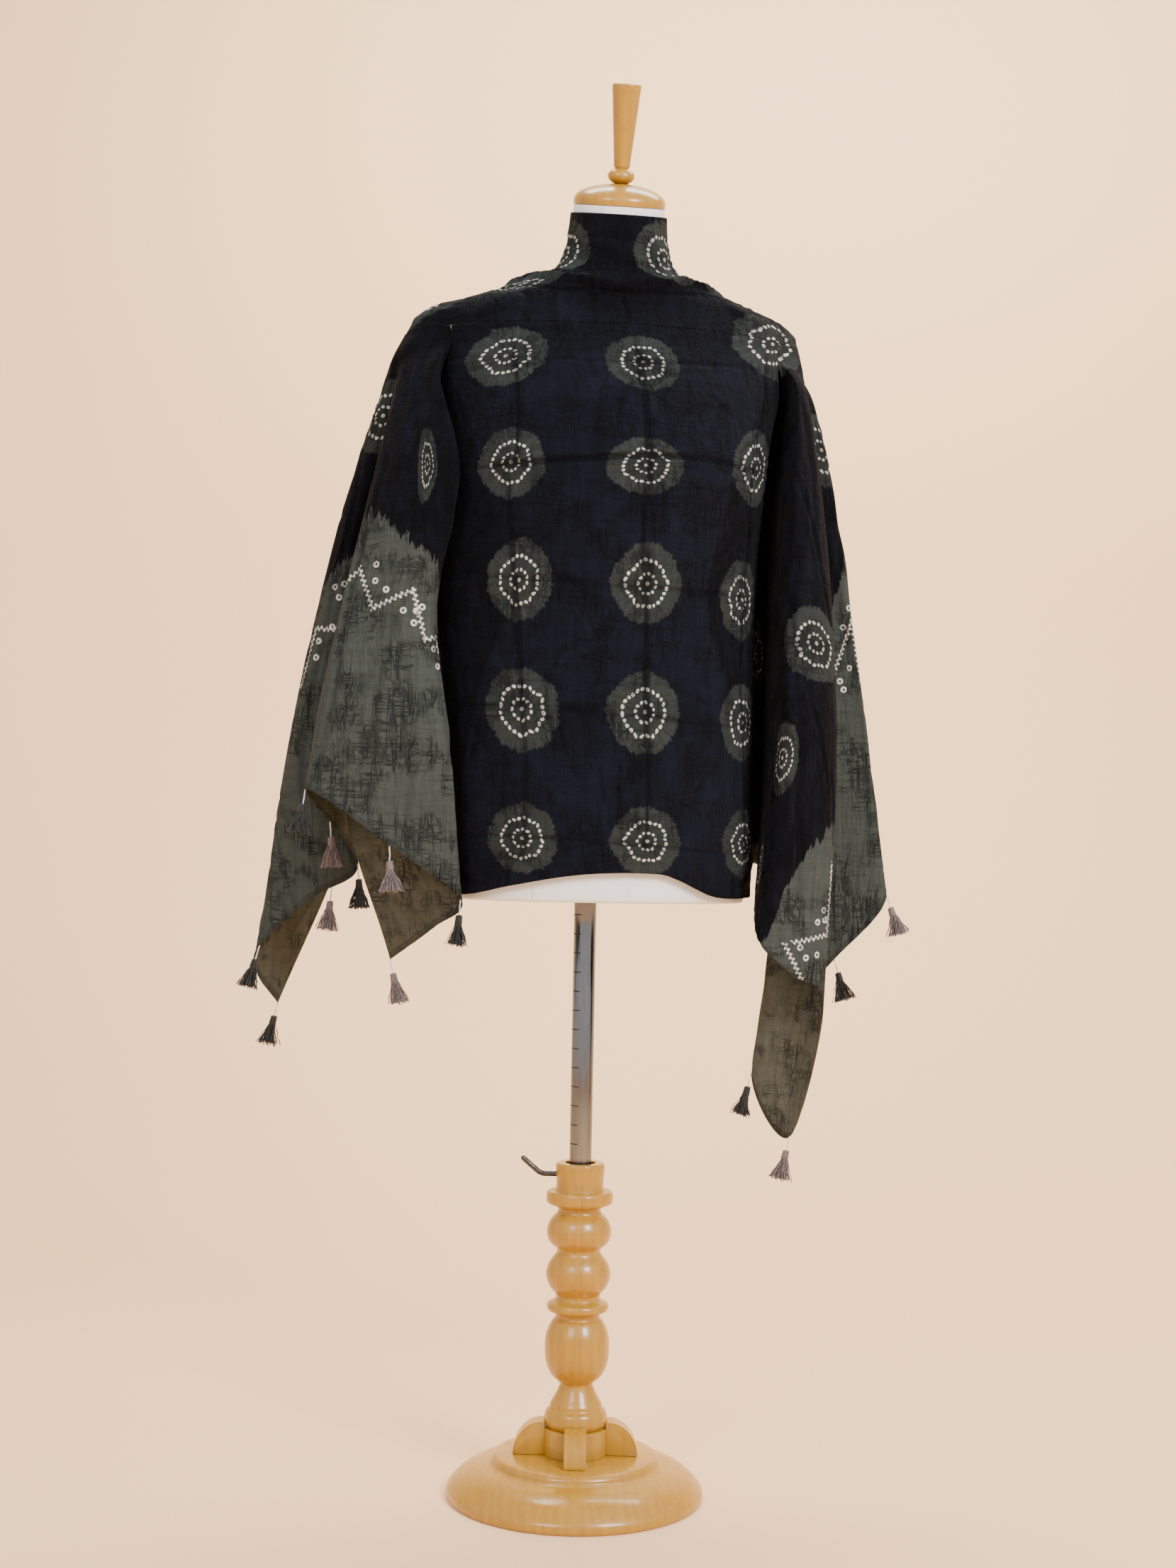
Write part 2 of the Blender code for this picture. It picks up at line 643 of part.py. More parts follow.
def build_yoke(mats):
    """The stretch that wraps the neck as a high collar and lies over both shoulders."""
    heights = (YOKE_TOP, 1.417, 1.402, 1.388, 1.375, 1.363, 1.352, 1.341, 1.331, 1.321, 1.311)
    heights += (YOKE_EDGE + SEAM,)
    grid = []
    for z in heights:
        share = (YOKE_TOP - z) / (YOKE_TOP - YOKE_EDGE)
        left = YOKE_LEFT + (LEFT_FALL[-1].angle - YOKE_LEFT) * share
        right = YOKE_RIGHT + (RIGHT_FALL[-1].angle - YOKE_RIGHT) * share
        step = (right - left) / YOKE_COLUMNS
        grid.append([yoke_point(left + step * j, z) for j in range(YOKE_COLUMNS + 1)])
    wall("stole_neck", grid, mats["stole"])


def panel_line(share):
    """A line down the front panel. The share runs from its left side, 0, to its right side, 1."""
    place = 2 * share - 1
    top = YOKE_EDGE - SEAM
    points = [yoke_point(PANEL_TOP_ANGLE * place, top)]
    points.append(yoke_point(PANEL_TOP_ANGLE * place, top - FOLD_START))
    for drape in PANEL_SECTIONS:
        turn = math.radians(drape.widest * place)
        reach = drape.left if place < 0 else drape.right
        spot = FORM_CENTRE + SIDE * reach * math.sin(turn) + FACING * drape.front * math.cos(turn)
        points.append(Vector((spot.x, spot.y, drape.z)))
    points[-1].z = table_at(PANEL_HEM, "place", share).z
    return points


def fall_line(line):
    """A fall's line as points, from the yoke's edge to its hem."""
    top = YOKE_EDGE - SEAM
    points = [yoke_point(line.angle, top), yoke_point(line.angle, top - FOLD_START)]
    return points + [Vector(p) for p in (line.shoulder, line.chest, line.waist, line.hip, line.hem)]


def build_front(mats):
    """The front panel, from the yoke's edge to the hem."""
    lines = [panel_line(j / FRONT_COLUMNS) for j in range(FRONT_COLUMNS + 1)]
    wall("stole_front", lengthwise(lines, FRONT_ROWS), mats["stole"])


def lengthwise(lines, rows):
    """Samples lines of the same count of points from top to bottom, as rows of a grid."""
    last = len(lines[0]) - 1
    return [[curve_at(line, last * i / rows) for line in lines] for i in range(rows + 1)]


Fall = namedtuple("Fall", "hem last_line surface")


def build_fall(name, lines, columns, mats):
    """One end of the stole, whose lines are the crests and troughs of its folds."""
    last = len(lines) - 1
    grid = []
    for row in lengthwise(lines, FALL_ROWS):
        grid.append([curve_at(row, last * j / columns) for j in range(columns + 1)])
    cloth = wall(name, grid, mats["stole"]).data
    cloth.calc_loop_triangles()
    faces = [tuple(triangle.vertices) for triangle in cloth.loop_triangles]
    return Fall(grid[-1], last, BVHTree.FromPolygons([vert.co for vert in cloth.vertices], faces))


# Tassels


def hang_point(fall, line):
    """The point under a fall's hem where a string's end just clears the cloth."""
    place = line / fall.last_line * (len(fall.hem) - 1)
    index = min(int(place), len(fall.hem) - 2)
    hook = fall.hem[index].lerp(fall.hem[index + 1], place - index)
    hook.z -= STRING_RADIUS
    for step in range(HANG_STEPS):
        below = (hook - Vector((0.0, 0.0, STRING_LENGTH * share)) for share in (0.0, 0.1, 0.2, 0.3))
        near = min(fall.surface.find_nearest(spot)[3] for spot in below)
        hook.z -= max(STRING_RADIUS + FIT * 1.3 - near, 0.0)
    return hook


def build_tassel(tassel, fall, mats):
    """A tassel on its string: a bound head with a skirt of strands fused into it."""
    hook = hang_point(fall, tassel.line)
    top = hook.z
    knot = top - STRING_LENGTH
    count = TASSEL_STRANDS
    centre = (hook.x, hook.y)
    bm = bmesh.new()
    string = ring(bm, STRING_RADIUS, top, count, centre)
    neck = ring(bm, STRING_RADIUS, knot, count, centre)
    shoulder = ring(bm, HEAD_RADIUS, knot - HEAD_LENGTH * 0.45, count, centre)
    waist = ring(bm, HEAD_RADIUS * 0.8, knot - HEAD_LENGTH, count, centre)
    bm.faces.new(string)
    for lower, upper in ((string, neck), (neck, shoulder), (shoulder, waist)):
        bridge(bm, lower, upper)
    hub = bm.verts.new((hook.x, hook.y, knot - HEAD_LENGTH))
    roots = [bm.faces.new((waist[i], waist[(i + 1) % count], hub)) for i in range(count)]
    bmesh.ops.recalc_face_normals(bm, faces=bm.faces)
    bmesh.ops.inset_individual(bm, faces=roots, thickness=0.00025, depth=0.0)
    strands = bmesh.ops.extrude_discrete_faces(bm, faces=roots)["faces"]
    for face in strands:
        middle = face.calc_center_median()
        outward = Vector((middle.x - hook.x, middle.y - hook.y, 0.0))
        for vert in face.verts:
            vert.co += outward * SKIRT_SPREAD
            vert.co.z -= SKIRT_LENGTH
    add_object(tassel.name, bm, mats["dark" if tassel.dark else "mauve"], smooth_angle=40)


def main():
    for obj in list(bpy.data.objects):
        bpy.data.objects.remove(obj, do_unlink=True)
    mats = build_materials()
    build_base(mats)
    build_baluster(mats)
    build_pole(mats)
    build_lever(mats)
    build_form(mats)
    build_finial(mats)
    build_yoke(mats)
    build_front(mats)
    left = [fall_line(line) for line in LEFT_FALL]
    right = [fall_line(line) for line in RIGHT_FALL]
    left_fall = build_fall("stole_left", left, LEFT_COLUMNS, mats)
    right_fall = build_fall("stole_right", right, RIGHT_COLUMNS, mats)
    for tassel in LEFT_TASSELS:
        build_tassel(tassel, left_fall, mats)
    for tassel in RIGHT_TASSELS:
        build_tassel(tassel, right_fall, mats)


main()
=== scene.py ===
"""Looks of a bandhani dupatta stole on a dress form: cloth, tassels, turned wood, pole and studio.

Metres, +Z up, the front faces -Y, and left and right are the viewer's.
"""

import math
from collections import namedtuple

import bmesh
import bpy
import numpy as np
from mathutils import Matrix, Vector


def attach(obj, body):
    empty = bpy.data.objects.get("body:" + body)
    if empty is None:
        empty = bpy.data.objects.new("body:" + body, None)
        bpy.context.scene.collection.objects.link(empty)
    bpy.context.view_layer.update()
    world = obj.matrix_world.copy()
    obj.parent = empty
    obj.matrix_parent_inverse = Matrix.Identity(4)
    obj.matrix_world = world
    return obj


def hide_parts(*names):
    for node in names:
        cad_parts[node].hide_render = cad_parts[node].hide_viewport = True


bl_info = {
    "name": "Dupatta stole on a dress form",
    "version": (1, 0, 0),
    "blender": (4, 5, 0),
    "location": "View3D > Sidebar > Stole",
    "description": "Builds a tie-dyed stole, its tassels, the dress form and its turned stand",
    "category": "Add Mesh",
}

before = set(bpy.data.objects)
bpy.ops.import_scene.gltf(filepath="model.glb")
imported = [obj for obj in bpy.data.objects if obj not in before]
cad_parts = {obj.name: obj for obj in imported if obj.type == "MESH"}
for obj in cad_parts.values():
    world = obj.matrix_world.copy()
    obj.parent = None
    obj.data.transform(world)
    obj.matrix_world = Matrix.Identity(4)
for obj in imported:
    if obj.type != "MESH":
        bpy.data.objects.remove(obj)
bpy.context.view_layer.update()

# Sizes shared with the solids

CLOTH_CLEARANCE = 0.0025
SEAM = 0.0003
FIT = 0.0003
FORM_YAW = math.radians(14)
FORM_CENTRE = Vector((0.018, -0.012, 0.0))
FORM_BOTTOM = 0.671
FORM_TOP = 1.444
NECK_TILT = 17.0
FORM_LEAN = 1.7
YOKE_TOP = 1.435
YOKE_EDGE = 1.300
YOKE_LEFT = -138.0
YOKE_RIGHT = 176.0
FOLD_START = 0.018
SHOULDER_HEIGHT = 1.327
SHOULDER_ANGLE = 98.0
SHOULDER_SPAN = 30.0
SHOULDER_LIFT_LEFT = 0.030
SHOULDER_LIFT_RIGHT = 0.020
PANEL_TOP_ANGLE = 67.5
PANEL_TUCK = 9.0
YOKE_HEIGHTS = (YOKE_TOP, 1.417, 1.402, 1.388, 1.375, 1.363, 1.352, 1.341, 1.331, 1.321, 1.311)
YOKE_COLUMNS = 32
FRONT_COLUMNS = 26
SIDE = Vector((math.cos(FORM_YAW), math.sin(FORM_YAW), 0.0))
FACING = Vector((math.sin(FORM_YAW), -math.cos(FORM_YAW), 0.0))

POLE_RADIUS = 0.0125
POLE_FOOT = 0.160
POLE_TOP = 0.7307
SOCKET_TOP = 0.3752
LEVER_HEIGHT = 0.362
LEVER_RADIUS = 0.003
LEVER_ELBOW = -0.0446
LEVER_TIP = (-0.0665, 0.381)
PLATEAU_HEIGHT = 0.048
BLOCK_RADIUS = 0.0365
BLOCK_TOP = 0.078
WING_THICKNESS = 0.024
WING_REACH = 0.070
WING_HEIGHT = 0.037
CAP_RADIUS = 0.0515
SOCKET_DEPTH = 0.060
BORE_RADIUS = 0.0130
MOUTH_RADIUS = 0.0172
MOUTH_DEPTH = 0.030
BORE_FLOOR = 0.055
CAP_HEIGHT = 0.025
BALL_RADIUS = 0.015
BALL_HEIGHT = 0.016
HANDLE_LENGTH = 0.088

# Small measures of the cloth's surface and its stitching, in metres. The dots are counts, and the
# puckers' reach is a share of the patch's radius.
STOLE_WIDTH = 0.84
OUTER_DOTS = 24
INNER_DOTS = 11
PUCKER_HEIGHT = 0.00055
PUCKER_REACH = 1.45
DOME_HEIGHT = 0.0010
DOME_WIDTH = 0.014
STROKE_REACH = 0.015
EYE_REACH = 0.008
ZIGZAG_AWAY = 0.28
HANGING_LOW = -0.0024
HEM_RISE = 0.0003
HOOK_RISE = 0.0008
STITCH_LENGTH = 0.0011
STITCH_RADIUS = 0.00030
STITCH_RISE = 0.0004

# The pole's scribed marks, and the worn parts of the clamp's rod
MARK_STEP = 0.0215
MARK_TINT = (0.05, 0.05, 0.055)
ROD_WORN = (0.040, 0.039, 0.038)

Section = namedtuple("Section", "z half_width front back forward tilt")
FORM_SECTIONS = (
    Section(FORM_BOTTOM, 0.163, 0.105, 0.098, 0.000, 0.0),
    Section(0.740, 0.166, 0.108, 0.108, 0.000, 0.0),
    Section(0.820, 0.162, 0.105, 0.110, 0.000, 0.0),
    Section(0.910, 0.143, 0.094, 0.098, 0.000, 0.0),
    Section(0.990, 0.118, 0.083, 0.079, 0.000, 0.0),
    Section(1.060, 0.126, 0.094, 0.083, 0.000, 0.0),
    Section(1.125, 0.143, 0.111, 0.091, 0.000, 0.0),
    Section(1.170, 0.157, 0.110, 0.095, 0.000, 0.0),
    Section(1.216, 0.175, 0.098, 0.096, 0.000, 0.0),
    Section(1.260, 0.192, 0.083, 0.090, 0.000, 0.0),
    Section(1.300, 0.202, 0.069, 0.080, 0.001, 0.0),
    Section(1.318, 0.199, 0.059, 0.069, 0.003, 0.0),
    Section(1.335, 0.167, 0.055, 0.062, 0.005, 1.0),
    Section(1.350, 0.118, 0.053, 0.057, 0.008, 3.0),
    Section(1.367, 0.074, 0.052, 0.054, 0.011, 6.0),
    Section(1.391, 0.057, 0.052, 0.053, 0.014, 11.0),
    Section(1.419, 0.052, 0.0515, 0.0515, 0.017, 15.0),
    Section(FORM_TOP, 0.0505, 0.0505, 0.0505, 0.020, NECK_TILT),
)

Drape = namedtuple("Drape", "z left right front widest")
PANEL_SECTIONS = (
    Drape(1.240, 0.1965, 0.1950, 0.0985, 78),
    Drape(1.190, 0.1960, 0.1850, 0.1130, 88),
    Drape(1.130, 0.1955, 0.1780, 0.1190, 90),
    Drape(1.060, 0.1970, 0.1720, 0.1150, 90),
    Drape(0.990, 0.1950, 0.1700, 0.1090, 90),
    Drape(0.910, 0.1890, 0.1700, 0.1090, 90),
    Drape(0.820, 0.1830, 0.1700, 0.1140, 90),
    Drape(0.750, 0.1790, 0.1715, 0.1160, 90),
    Drape(0.700, 0.1740, 0.1705, 0.1165, 90),
)
Hem = namedtuple("Hem", "place z")
PANEL_HEM = (
    Hem(0.00, 0.675),
    Hem(0.15, 0.679),
    Hem(0.25, 0.688),
    Hem(0.42, 0.702),
    Hem(0.58, 0.702),
    Hem(0.64, 0.690),
    Hem(0.72, 0.678),
    Hem(1.00, 0.680),
)

# The lines of the two falls. The end is how far along the cloth the line's foot lies from the
# end hem: nothing where it ends on that hem, more where it ends on the long selvage.
Line = namedtuple("Line", "name angle end shoulder chest waist hip hem")
LEFT_FALL = (
    Line("inner_edge", -68.6, 0, (-0.1690, -0.077, 1.240), (-0.177, -0.054, 1.120),
         (-0.196, -0.050, 0.985), (-0.268, -0.044, 0.800), (-0.216, -0.034, 0.602)),
    Line("inner_face", -71, 0, (-0.1710, -0.092, 1.240), (-0.174, -0.093, 1.120),
         (-0.182, -0.086, 0.985), (-0.207, -0.086, 0.815), (-0.165, -0.082, 0.640)),
    Line("front_right_fold", -74, 0, (-0.170, -0.108, 1.240), (-0.143, -0.133, 1.125),
         (-0.166, -0.121, 0.985), (-0.148, -0.124, 0.840), (-0.134, -0.114, 0.671)),
    Line("front_face", -79, 0, (-0.190, -0.096, 1.240), (-0.188, -0.128, 1.125),
         (-0.208, -0.132, 0.985), (-0.218, -0.140, 0.860), (-0.209, -0.140, 0.728)),
    Line("front_left_fold", -84, 0, (-0.212, -0.081, 1.240), (-0.238, -0.093, 1.125),
         (-0.268, -0.100, 0.990), (-0.289, -0.108, 0.885), (-0.303, -0.112, 0.787)),
    Line("valley", -89, 0, (-0.219, -0.058, 1.240), (-0.232, -0.047, 1.120),
         (-0.246, -0.038, 0.985), (-0.262, -0.030, 0.850), (-0.256, -0.014, 0.706)),
    Line("outer_face", -94, 0, (-0.230, -0.048, 1.240), (-0.262, -0.040, 1.120),
         (-0.290, -0.034, 0.975), (-0.314, -0.030, 0.830), (-0.306, -0.026, 0.668)),
    Line("outer_fold", -99, 0, (-0.236, -0.028, 1.240), (-0.278, -0.014, 1.110),
         (-0.315, -0.004, 0.960), (-0.346, 0.004, 0.790), (-0.368, 0.008, 0.612)),
    Line("back_face", -106, 0, (-0.230, 0.002, 1.240), (-0.268, 0.024, 1.110),
         (-0.300, 0.038, 0.955), (-0.326, 0.050, 0.775), (-0.374, 0.038, 0.578)),
    Line("back_selvage", -116, 0, (-0.204, 0.030, 1.240), (-0.232, 0.052, 1.110),
         (-0.256, 0.066, 0.950), (-0.276, 0.074, 0.750), (-0.354, 0.062, 0.544)),
)
RIGHT_FALL = (
    Line("seam", 68.6, 0.40, (0.2120, 0.0170, 1.240), (0.1940, 0.0350, 1.120),
         (0.1865, 0.0340, 0.985), (0.1870, 0.0340, 0.850), (0.1870, 0.0340, 0.700)),
    Line("valley", 70.6, 0.37, (0.2190, 0.0200, 1.240), (0.2030, 0.0480, 1.120),
         (0.1980, 0.0580, 0.985), (0.1990, 0.0620, 0.850), (0.2000, 0.0600, 0.738)),
    Line("front_left_fold", 73, 0.335, (0.2260, -0.018, 1.240), (0.217, -0.046, 1.125),
         (0.214, -0.062, 0.985), (0.207, -0.068, 0.830), (0.187, -0.068, 0.642)),
    Line("front_face", 76, 0.24, (0.233, -0.016, 1.240), (0.237, -0.048, 1.125),
         (0.243, -0.066, 0.985), (0.243, -0.072, 0.830), (0.224, -0.068, 0.598)),
    Line("front_right_fold", 79.5, 0.17, (0.239, -0.006, 1.240), (0.256, -0.026, 1.120),
         (0.269, -0.038, 0.975), (0.275, -0.042, 0.810), (0.266, -0.040, 0.560)),
    Line("corner", 83, 0, (0.239, 0.008, 1.240), (0.251, 0.000, 1.115),
         (0.256, -0.004, 0.960), (0.256, -0.006, 0.770), (0.235, -0.004, 0.409)),
    Line("inner_fold", 86.5, 0, (0.237, 0.020, 1.240), (0.239, 0.022, 1.110),
         (0.232, 0.022, 0.950), (0.222, 0.020, 0.730), (0.192, 0.014, 0.478)),
    Line("inner_face", 90, 0, (0.241, 0.031, 1.240), (0.250, 0.041, 1.110),
         (0.250, 0.044, 0.955), (0.250, 0.046, 0.760), (0.242, 0.046, 0.560)),
    Line("outer_face", 94, 0, (0.246, 0.038, 1.240), (0.266, 0.047, 1.110),
         (0.280, 0.050, 0.960), (0.288, 0.052, 0.790), (0.288, 0.052, 0.607)),
    Line("outer_fold", 98, 0, (0.254, 0.051, 1.240), (0.285, 0.059, 1.110),
         (0.306, 0.062, 0.970), (0.328, 0.064, 0.830), (0.348, 0.060, 0.683)),
    Line("back_face", 108, 0, (0.240, 0.073, 1.240), (0.260, 0.088, 1.110),
         (0.272, 0.094, 0.980), (0.281, 0.098, 0.860), (0.288, 0.098, 0.745)),
    Line("back_fold", 122, 0, (0.208, 0.098, 1.240), (0.215, 0.112, 1.110),
         (0.218, 0.120, 0.980), (0.222, 0.126, 0.850), (0.226, 0.130, 0.712)),
    Line("back_panel", 140, 0, (0.143, 0.108, 1.240), (0.143, 0.118, 1.110),
         (0.140, 0.122, 0.980), (0.142, 0.132, 0.860), (0.148, 0.138, 0.735)),
    Line("back_selvage", 158, 0, (0.072, 0.105, 1.240), (0.068, 0.113, 1.110),
         (0.062, 0.116, 0.980), (0.058, 0.124, 0.865), (0.058, 0.132, 0.760)),
)

Turn = namedtuple("Turn", "radius z")


# Settings that a user may change


def length(name, value, text):
    return bpy.props.FloatProperty(
        name=name, default=value, description=text, unit="LENGTH", subtype="DISTANCE", precision=4
    )


def colour(name, value, text):
    return bpy.props.FloatVectorProperty(
        name=name, default=value, description=text, subtype="COLOR", size=3, min=0.0, max=1.0
    )


def count(name, value, text):
    return bpy.props.IntProperty(name=name, default=value, description=text, min=1)


def watts(name, value, text):
    return bpy.props.FloatProperty(name=name, default=value, description=text, min=0.0, unit="POWER")


class StoleSettings(bpy.types.PropertyGroup):
    """The cloth of the stole and its tie-dyed pattern."""

    wall: length("Cloth thickness", 0.0007, "Thickness of the crinkled cotton")
    end_hem: length("End hem", 0.0075, "Width of the turned hem at both short ends")
    stitch_gap: length("Stitch gap", 0.0034, "Distance from one hem stitch to the next")
    grey_end: length("Grey end", 0.36, "How far the grey reaches from each short end")
    patch: length("Patch radius", 0.0415, "Radius of a grey tie-dyed patch")
    ring: length("Outer ring", 0.0240, "Radius of the outer ring of dots")
    inner_ring: length("Inner ring", 0.0105, "Radius of the inner ring of dots")
    dot: length("Dot radius", 0.0021, "Radius of one white resist dot")
    knot: length("Knot step", 0.0031, "Distance from one dot of the zigzag to the next")
    # The second blue below is the same dark ground made paler by painted light, where the white form shines
    # through the sheer cloth.
    night: colour("Night blue", (0.0012, 0.0014, 0.0027), "The dark ground where nothing lies behind it")
    ink: colour("Ink blue", (0.0040, 0.0047, 0.0100), "The dark ground over the white form")
    ash: colour("Ash green", (0.031, 0.037, 0.036), "The grey of the patches")
    end_grey: colour("End grey", (0.048, 0.057, 0.053), "The grey of the two ends")
    olive: colour("Olive", (0.082, 0.080, 0.060), "The inside of the grey ends, lit through")
    white: colour("Resist white", (0.62, 0.62, 0.60), "The undyed dots")


class TasselSettings(bpy.types.PropertyGroup):
    """The threads that hang from the two end hems."""

    string: length("String length", 0.017, "Length of the white string")
    head: length("Head length", 0.009, "Length of the bound head")
    skirt: length("Skirt length", 0.026, "Length of the loose threads")
    thread: length("Thread radius", 0.00044, "Radius of one thread")
    threads: count("Threads", 120, "Number of loose threads in one tassel")
    black: colour("Black thread", (0.003, 0.003, 0.004), "Dark tassels")
    mauve: colour("Mauve thread", (0.17, 0.130, 0.140), "Pale tassels")
    cord: colour("String", (0.72, 0.71, 0.69), "White string")


class StandSettings(bpy.types.PropertyGroup):
    """The dress form, its finial, pole and turned pedestal."""

    wood: colour("Wood", (0.42, 0.210, 0.012), "Golden varnished wood")
    grain: colour("Grain", (0.22, 0.090, 0.006), "Darker lines of the grain")
    steel: colour("Steel", (0.21, 0.21, 0.22), "Plated pole")
    rod: colour("Rod", (0.085, 0.083, 0.080), "Bent steel rod of the clamp")
    cotton: colour("Cotton", (0.80, 0.80, 0.82), "Cover of the form")


class StageSettings(bpy.types.PropertyGroup):
    """The plain studio round the object."""

    floor: colour("Backdrop", (0.96, 0.655, 0.375), "Pale paper of the floor and the wall")
    key: watts("Key light", 128.0, "Power of the large soft light")
    fill: watts("Fill light", 48.0, "Power of the fill light")
    wall: watts("Wall light", 120.0, "Power of the light on the backdrop")


# Node graphs for the finishes


class Builder:
    """Adds nodes to a tree, and links them as it goes."""

    def __init__(self, tree, prefix):
        self.tree = tree
        self.prefix = prefix

    def put(self, socket, value):
        """Links a socket, or sets its own value."""
        if isinstance(value, bpy.types.NodeSocket):
            self.tree.links.new(value, socket)
        else:
            socket.default_value = value

    def node(self, kind, inputs=(), output=0, prefix=None, **settings):
        """Adds a node of the tree's own family, or of the one that the prefix names."""
        made = self.tree.nodes.new((prefix or self.prefix) + kind)
        for key, value in settings.items():
            setattr(made, key, value)
        for key, value in dict(inputs).items():
            self.put(made.inputs[key], value)
        return made.outputs[output]

    def math(self, operation, a, b=0.0, c=0.0):
        return self.node("Math", {0: a, 1: b, 2: c}, prefix="ShaderNode", operation=operation)

    def add(self, a, b):
        return self.math("ADD", a, b)

    def less(self, a, b):
        return self.math("SUBTRACT", a, b)

    def times(self, a, b):
        return self.math("MULTIPLY", a, b)

    def larger(self, a, b):
        return self.math("MAXIMUM", a, b)

    def distance(self, x, y):
        """How far a point lies from the origin."""
        return self.math("SQRT", self.add(self.times(x, x), self.times(y, y)))

    def vector(self, operation, a, b=(0.0, 0.0, 0.0), scale=1.0):
        return self.node("VectorMath", {0: a, 1: b, 3: scale}, prefix="ShaderNode", operation=operation)

    def point(self, x=0.0, y=0.0, z=0.0):
        return self.node("CombineXYZ", {0: x, 1: y, 2: z}, prefix="ShaderNode")

    def split(self, vector):
        """A vector's three numbers."""
        return self.node("SeparateXYZ", {0: vector}, prefix="ShaderNode").node.outputs[:]


class Graph(Builder):
    """A material's node tree, with a short call for each kind of node."""

    def __init__(self, name):
        self.material = bpy.data.materials.new(name)
        self.material.use_nodes = True
        super().__init__(self.material.node_tree, "ShaderNode")
        self.shader = self.tree.nodes["Principled BSDF"]

    def ramp(self, value, low, high, start=0.0, end=1.0):
        """A smooth step from start at low to end at high."""
        inputs = {"Value": value, "From Min": low, "From Max": high, "To Min": start, "To Max": end}
        return self.node("MapRange", inputs, interpolation_type="SMOOTHSTEP")

    def mix(self, share, a, b):
        return self.node("Mix", {0: share, 6: a, 7: b}, 2, data_type="RGBA")

    def stain(self, under, over, value, low, high, most):
        """Lays a colour over another, up to its most, as a value goes from low to high."""
        return self.mix(self.ramp(value, low, high, 0.0, most), under, over)

    def uv(self, name):
        """The two coordinates of one of the piece's own maps."""
        return self.split(self.node("UVMap", uv_map=name))[:2]

    def attribute(self, name):
        """A number that the mesh carries at its points."""
        return self.node("Attribute", output=2, attribute_name=name)

    def place(self, scale=(1.0, 1.0, 1.0)):
        """The piece's own coordinates, stretched."""
        return self.node("Mapping", {"Vector": self.node("TexCoord", output=3), "Scale": scale})

    def noise(self, vector, scale, detail=3.0, roughness=0.55, distortion=0.0):
        inputs = {"Vector": vector, "Scale": scale, "Detail": detail, "Roughness": roughness}
        return self.node("TexNoise", inputs | {"Distortion": distortion})

    def bump(self, height, distance, strength=1.0, under=None):
        inputs = {"Height": height, "Distance": distance, "Strength": strength}
        if under is not None:
            inputs["Normal"] = under
        return self.node("Bump", inputs)

    def finish(self, base, roughness, normal=None, **plain):
        self.put(self.shader.inputs["Base Color"], base)
        self.put(self.shader.inputs["Roughness"], roughness)
        if normal is not None:
            self.put(self.shader.inputs["Normal"], normal)
        for key, value in plain.items():
            self.shader.inputs[key.replace("_", " ")].default_value = value
        return self.material


def rgba(values, share=1.0):
    """A colour for a shader, made darker or lighter by a share."""
    return (*[value * share for value in values], 1.0)


def finish_of(name, make, settings):
    """A finish by its name, made when it is first asked for."""
    return bpy.data.materials.get(name) or make(Graph(name), settings)


def dots_on_ring(g, x, y, radius, number, dot, wobble, jitter):
    """A ring of dots round the local centre, drawn out a little along it. Gives 1 on a dot."""
    turn = g.math("ARCTAN2", y, x)
    place = g.add(g.times(turn, number / math.tau), jitter)
    cell = g.less(g.math("FRACT", g.add(place, 0.5)), 0.5)
    along = g.times(cell, math.tau * radius / number * 0.92)
    off = g.less(g.distance(x, y), g.times(wobble, radius))
    return g.ramp(g.distance(along, off), dot * 1.18, dot * 0.76)


def ring_dots(g, settings, x, y, wobble, jitter):
    """Two rings of dots round a patch's middle, and the one dot in it."""
    outer = dots_on_ring(g, x, y, settings.ring, OUTER_DOTS, settings.dot, wobble, jitter)
    inner = dots_on_ring(g, x, y, settings.inner_ring, INNER_DOTS, settings.dot * 0.88, wobble, jitter)
    return g.larger(g.larger(outer, inner), g.ramp(g.distance(x, y), 0.0028, 0.0016))


def zigzag_dots(g, settings, jitter):
    """Dots on either side of the zigzag by turns, and the small ringed dots near it."""
    off, along = g.uv("zigzag")
    knot = g.add(g.times(along, 1 / settings.knot), g.times(jitter, 0.35))
    side = g.less(g.math("FRACT", g.times(g.math("FLOOR", knot), 0.5)), 0.25)
    step = g.times(g.less(g.math("FRACT", knot), 0.5), settings.knot)
    beside = g.times(g.less(off, g.times(side, settings.dot * 2.3)), 0.80)
    zigzag = g.ramp(g.distance(step, beside), settings.dot * 0.92, settings.dot * 0.62)
    bay = g.distance(*g.uv("bay"))
    eyes = g.times(g.ramp(bay, 0.0042, 0.0032), g.ramp(bay, 0.0010, 0.0018))
    return g.larger(zigzag, eyes)


def folds_of(g, noise, sharp):
    """Thin lines where a noise passes its middle, as in cloth dried in twisted folds."""
    off = g.math("ABSOLUTE", g.less(noise, 0.5))
    stray = g.noise(g.place(), 24.0, 2.0)
    return g.times(g.ramp(g.times(off, sharp), 0.16, 0.02), g.ramp(stray, 0.44, 0.62))


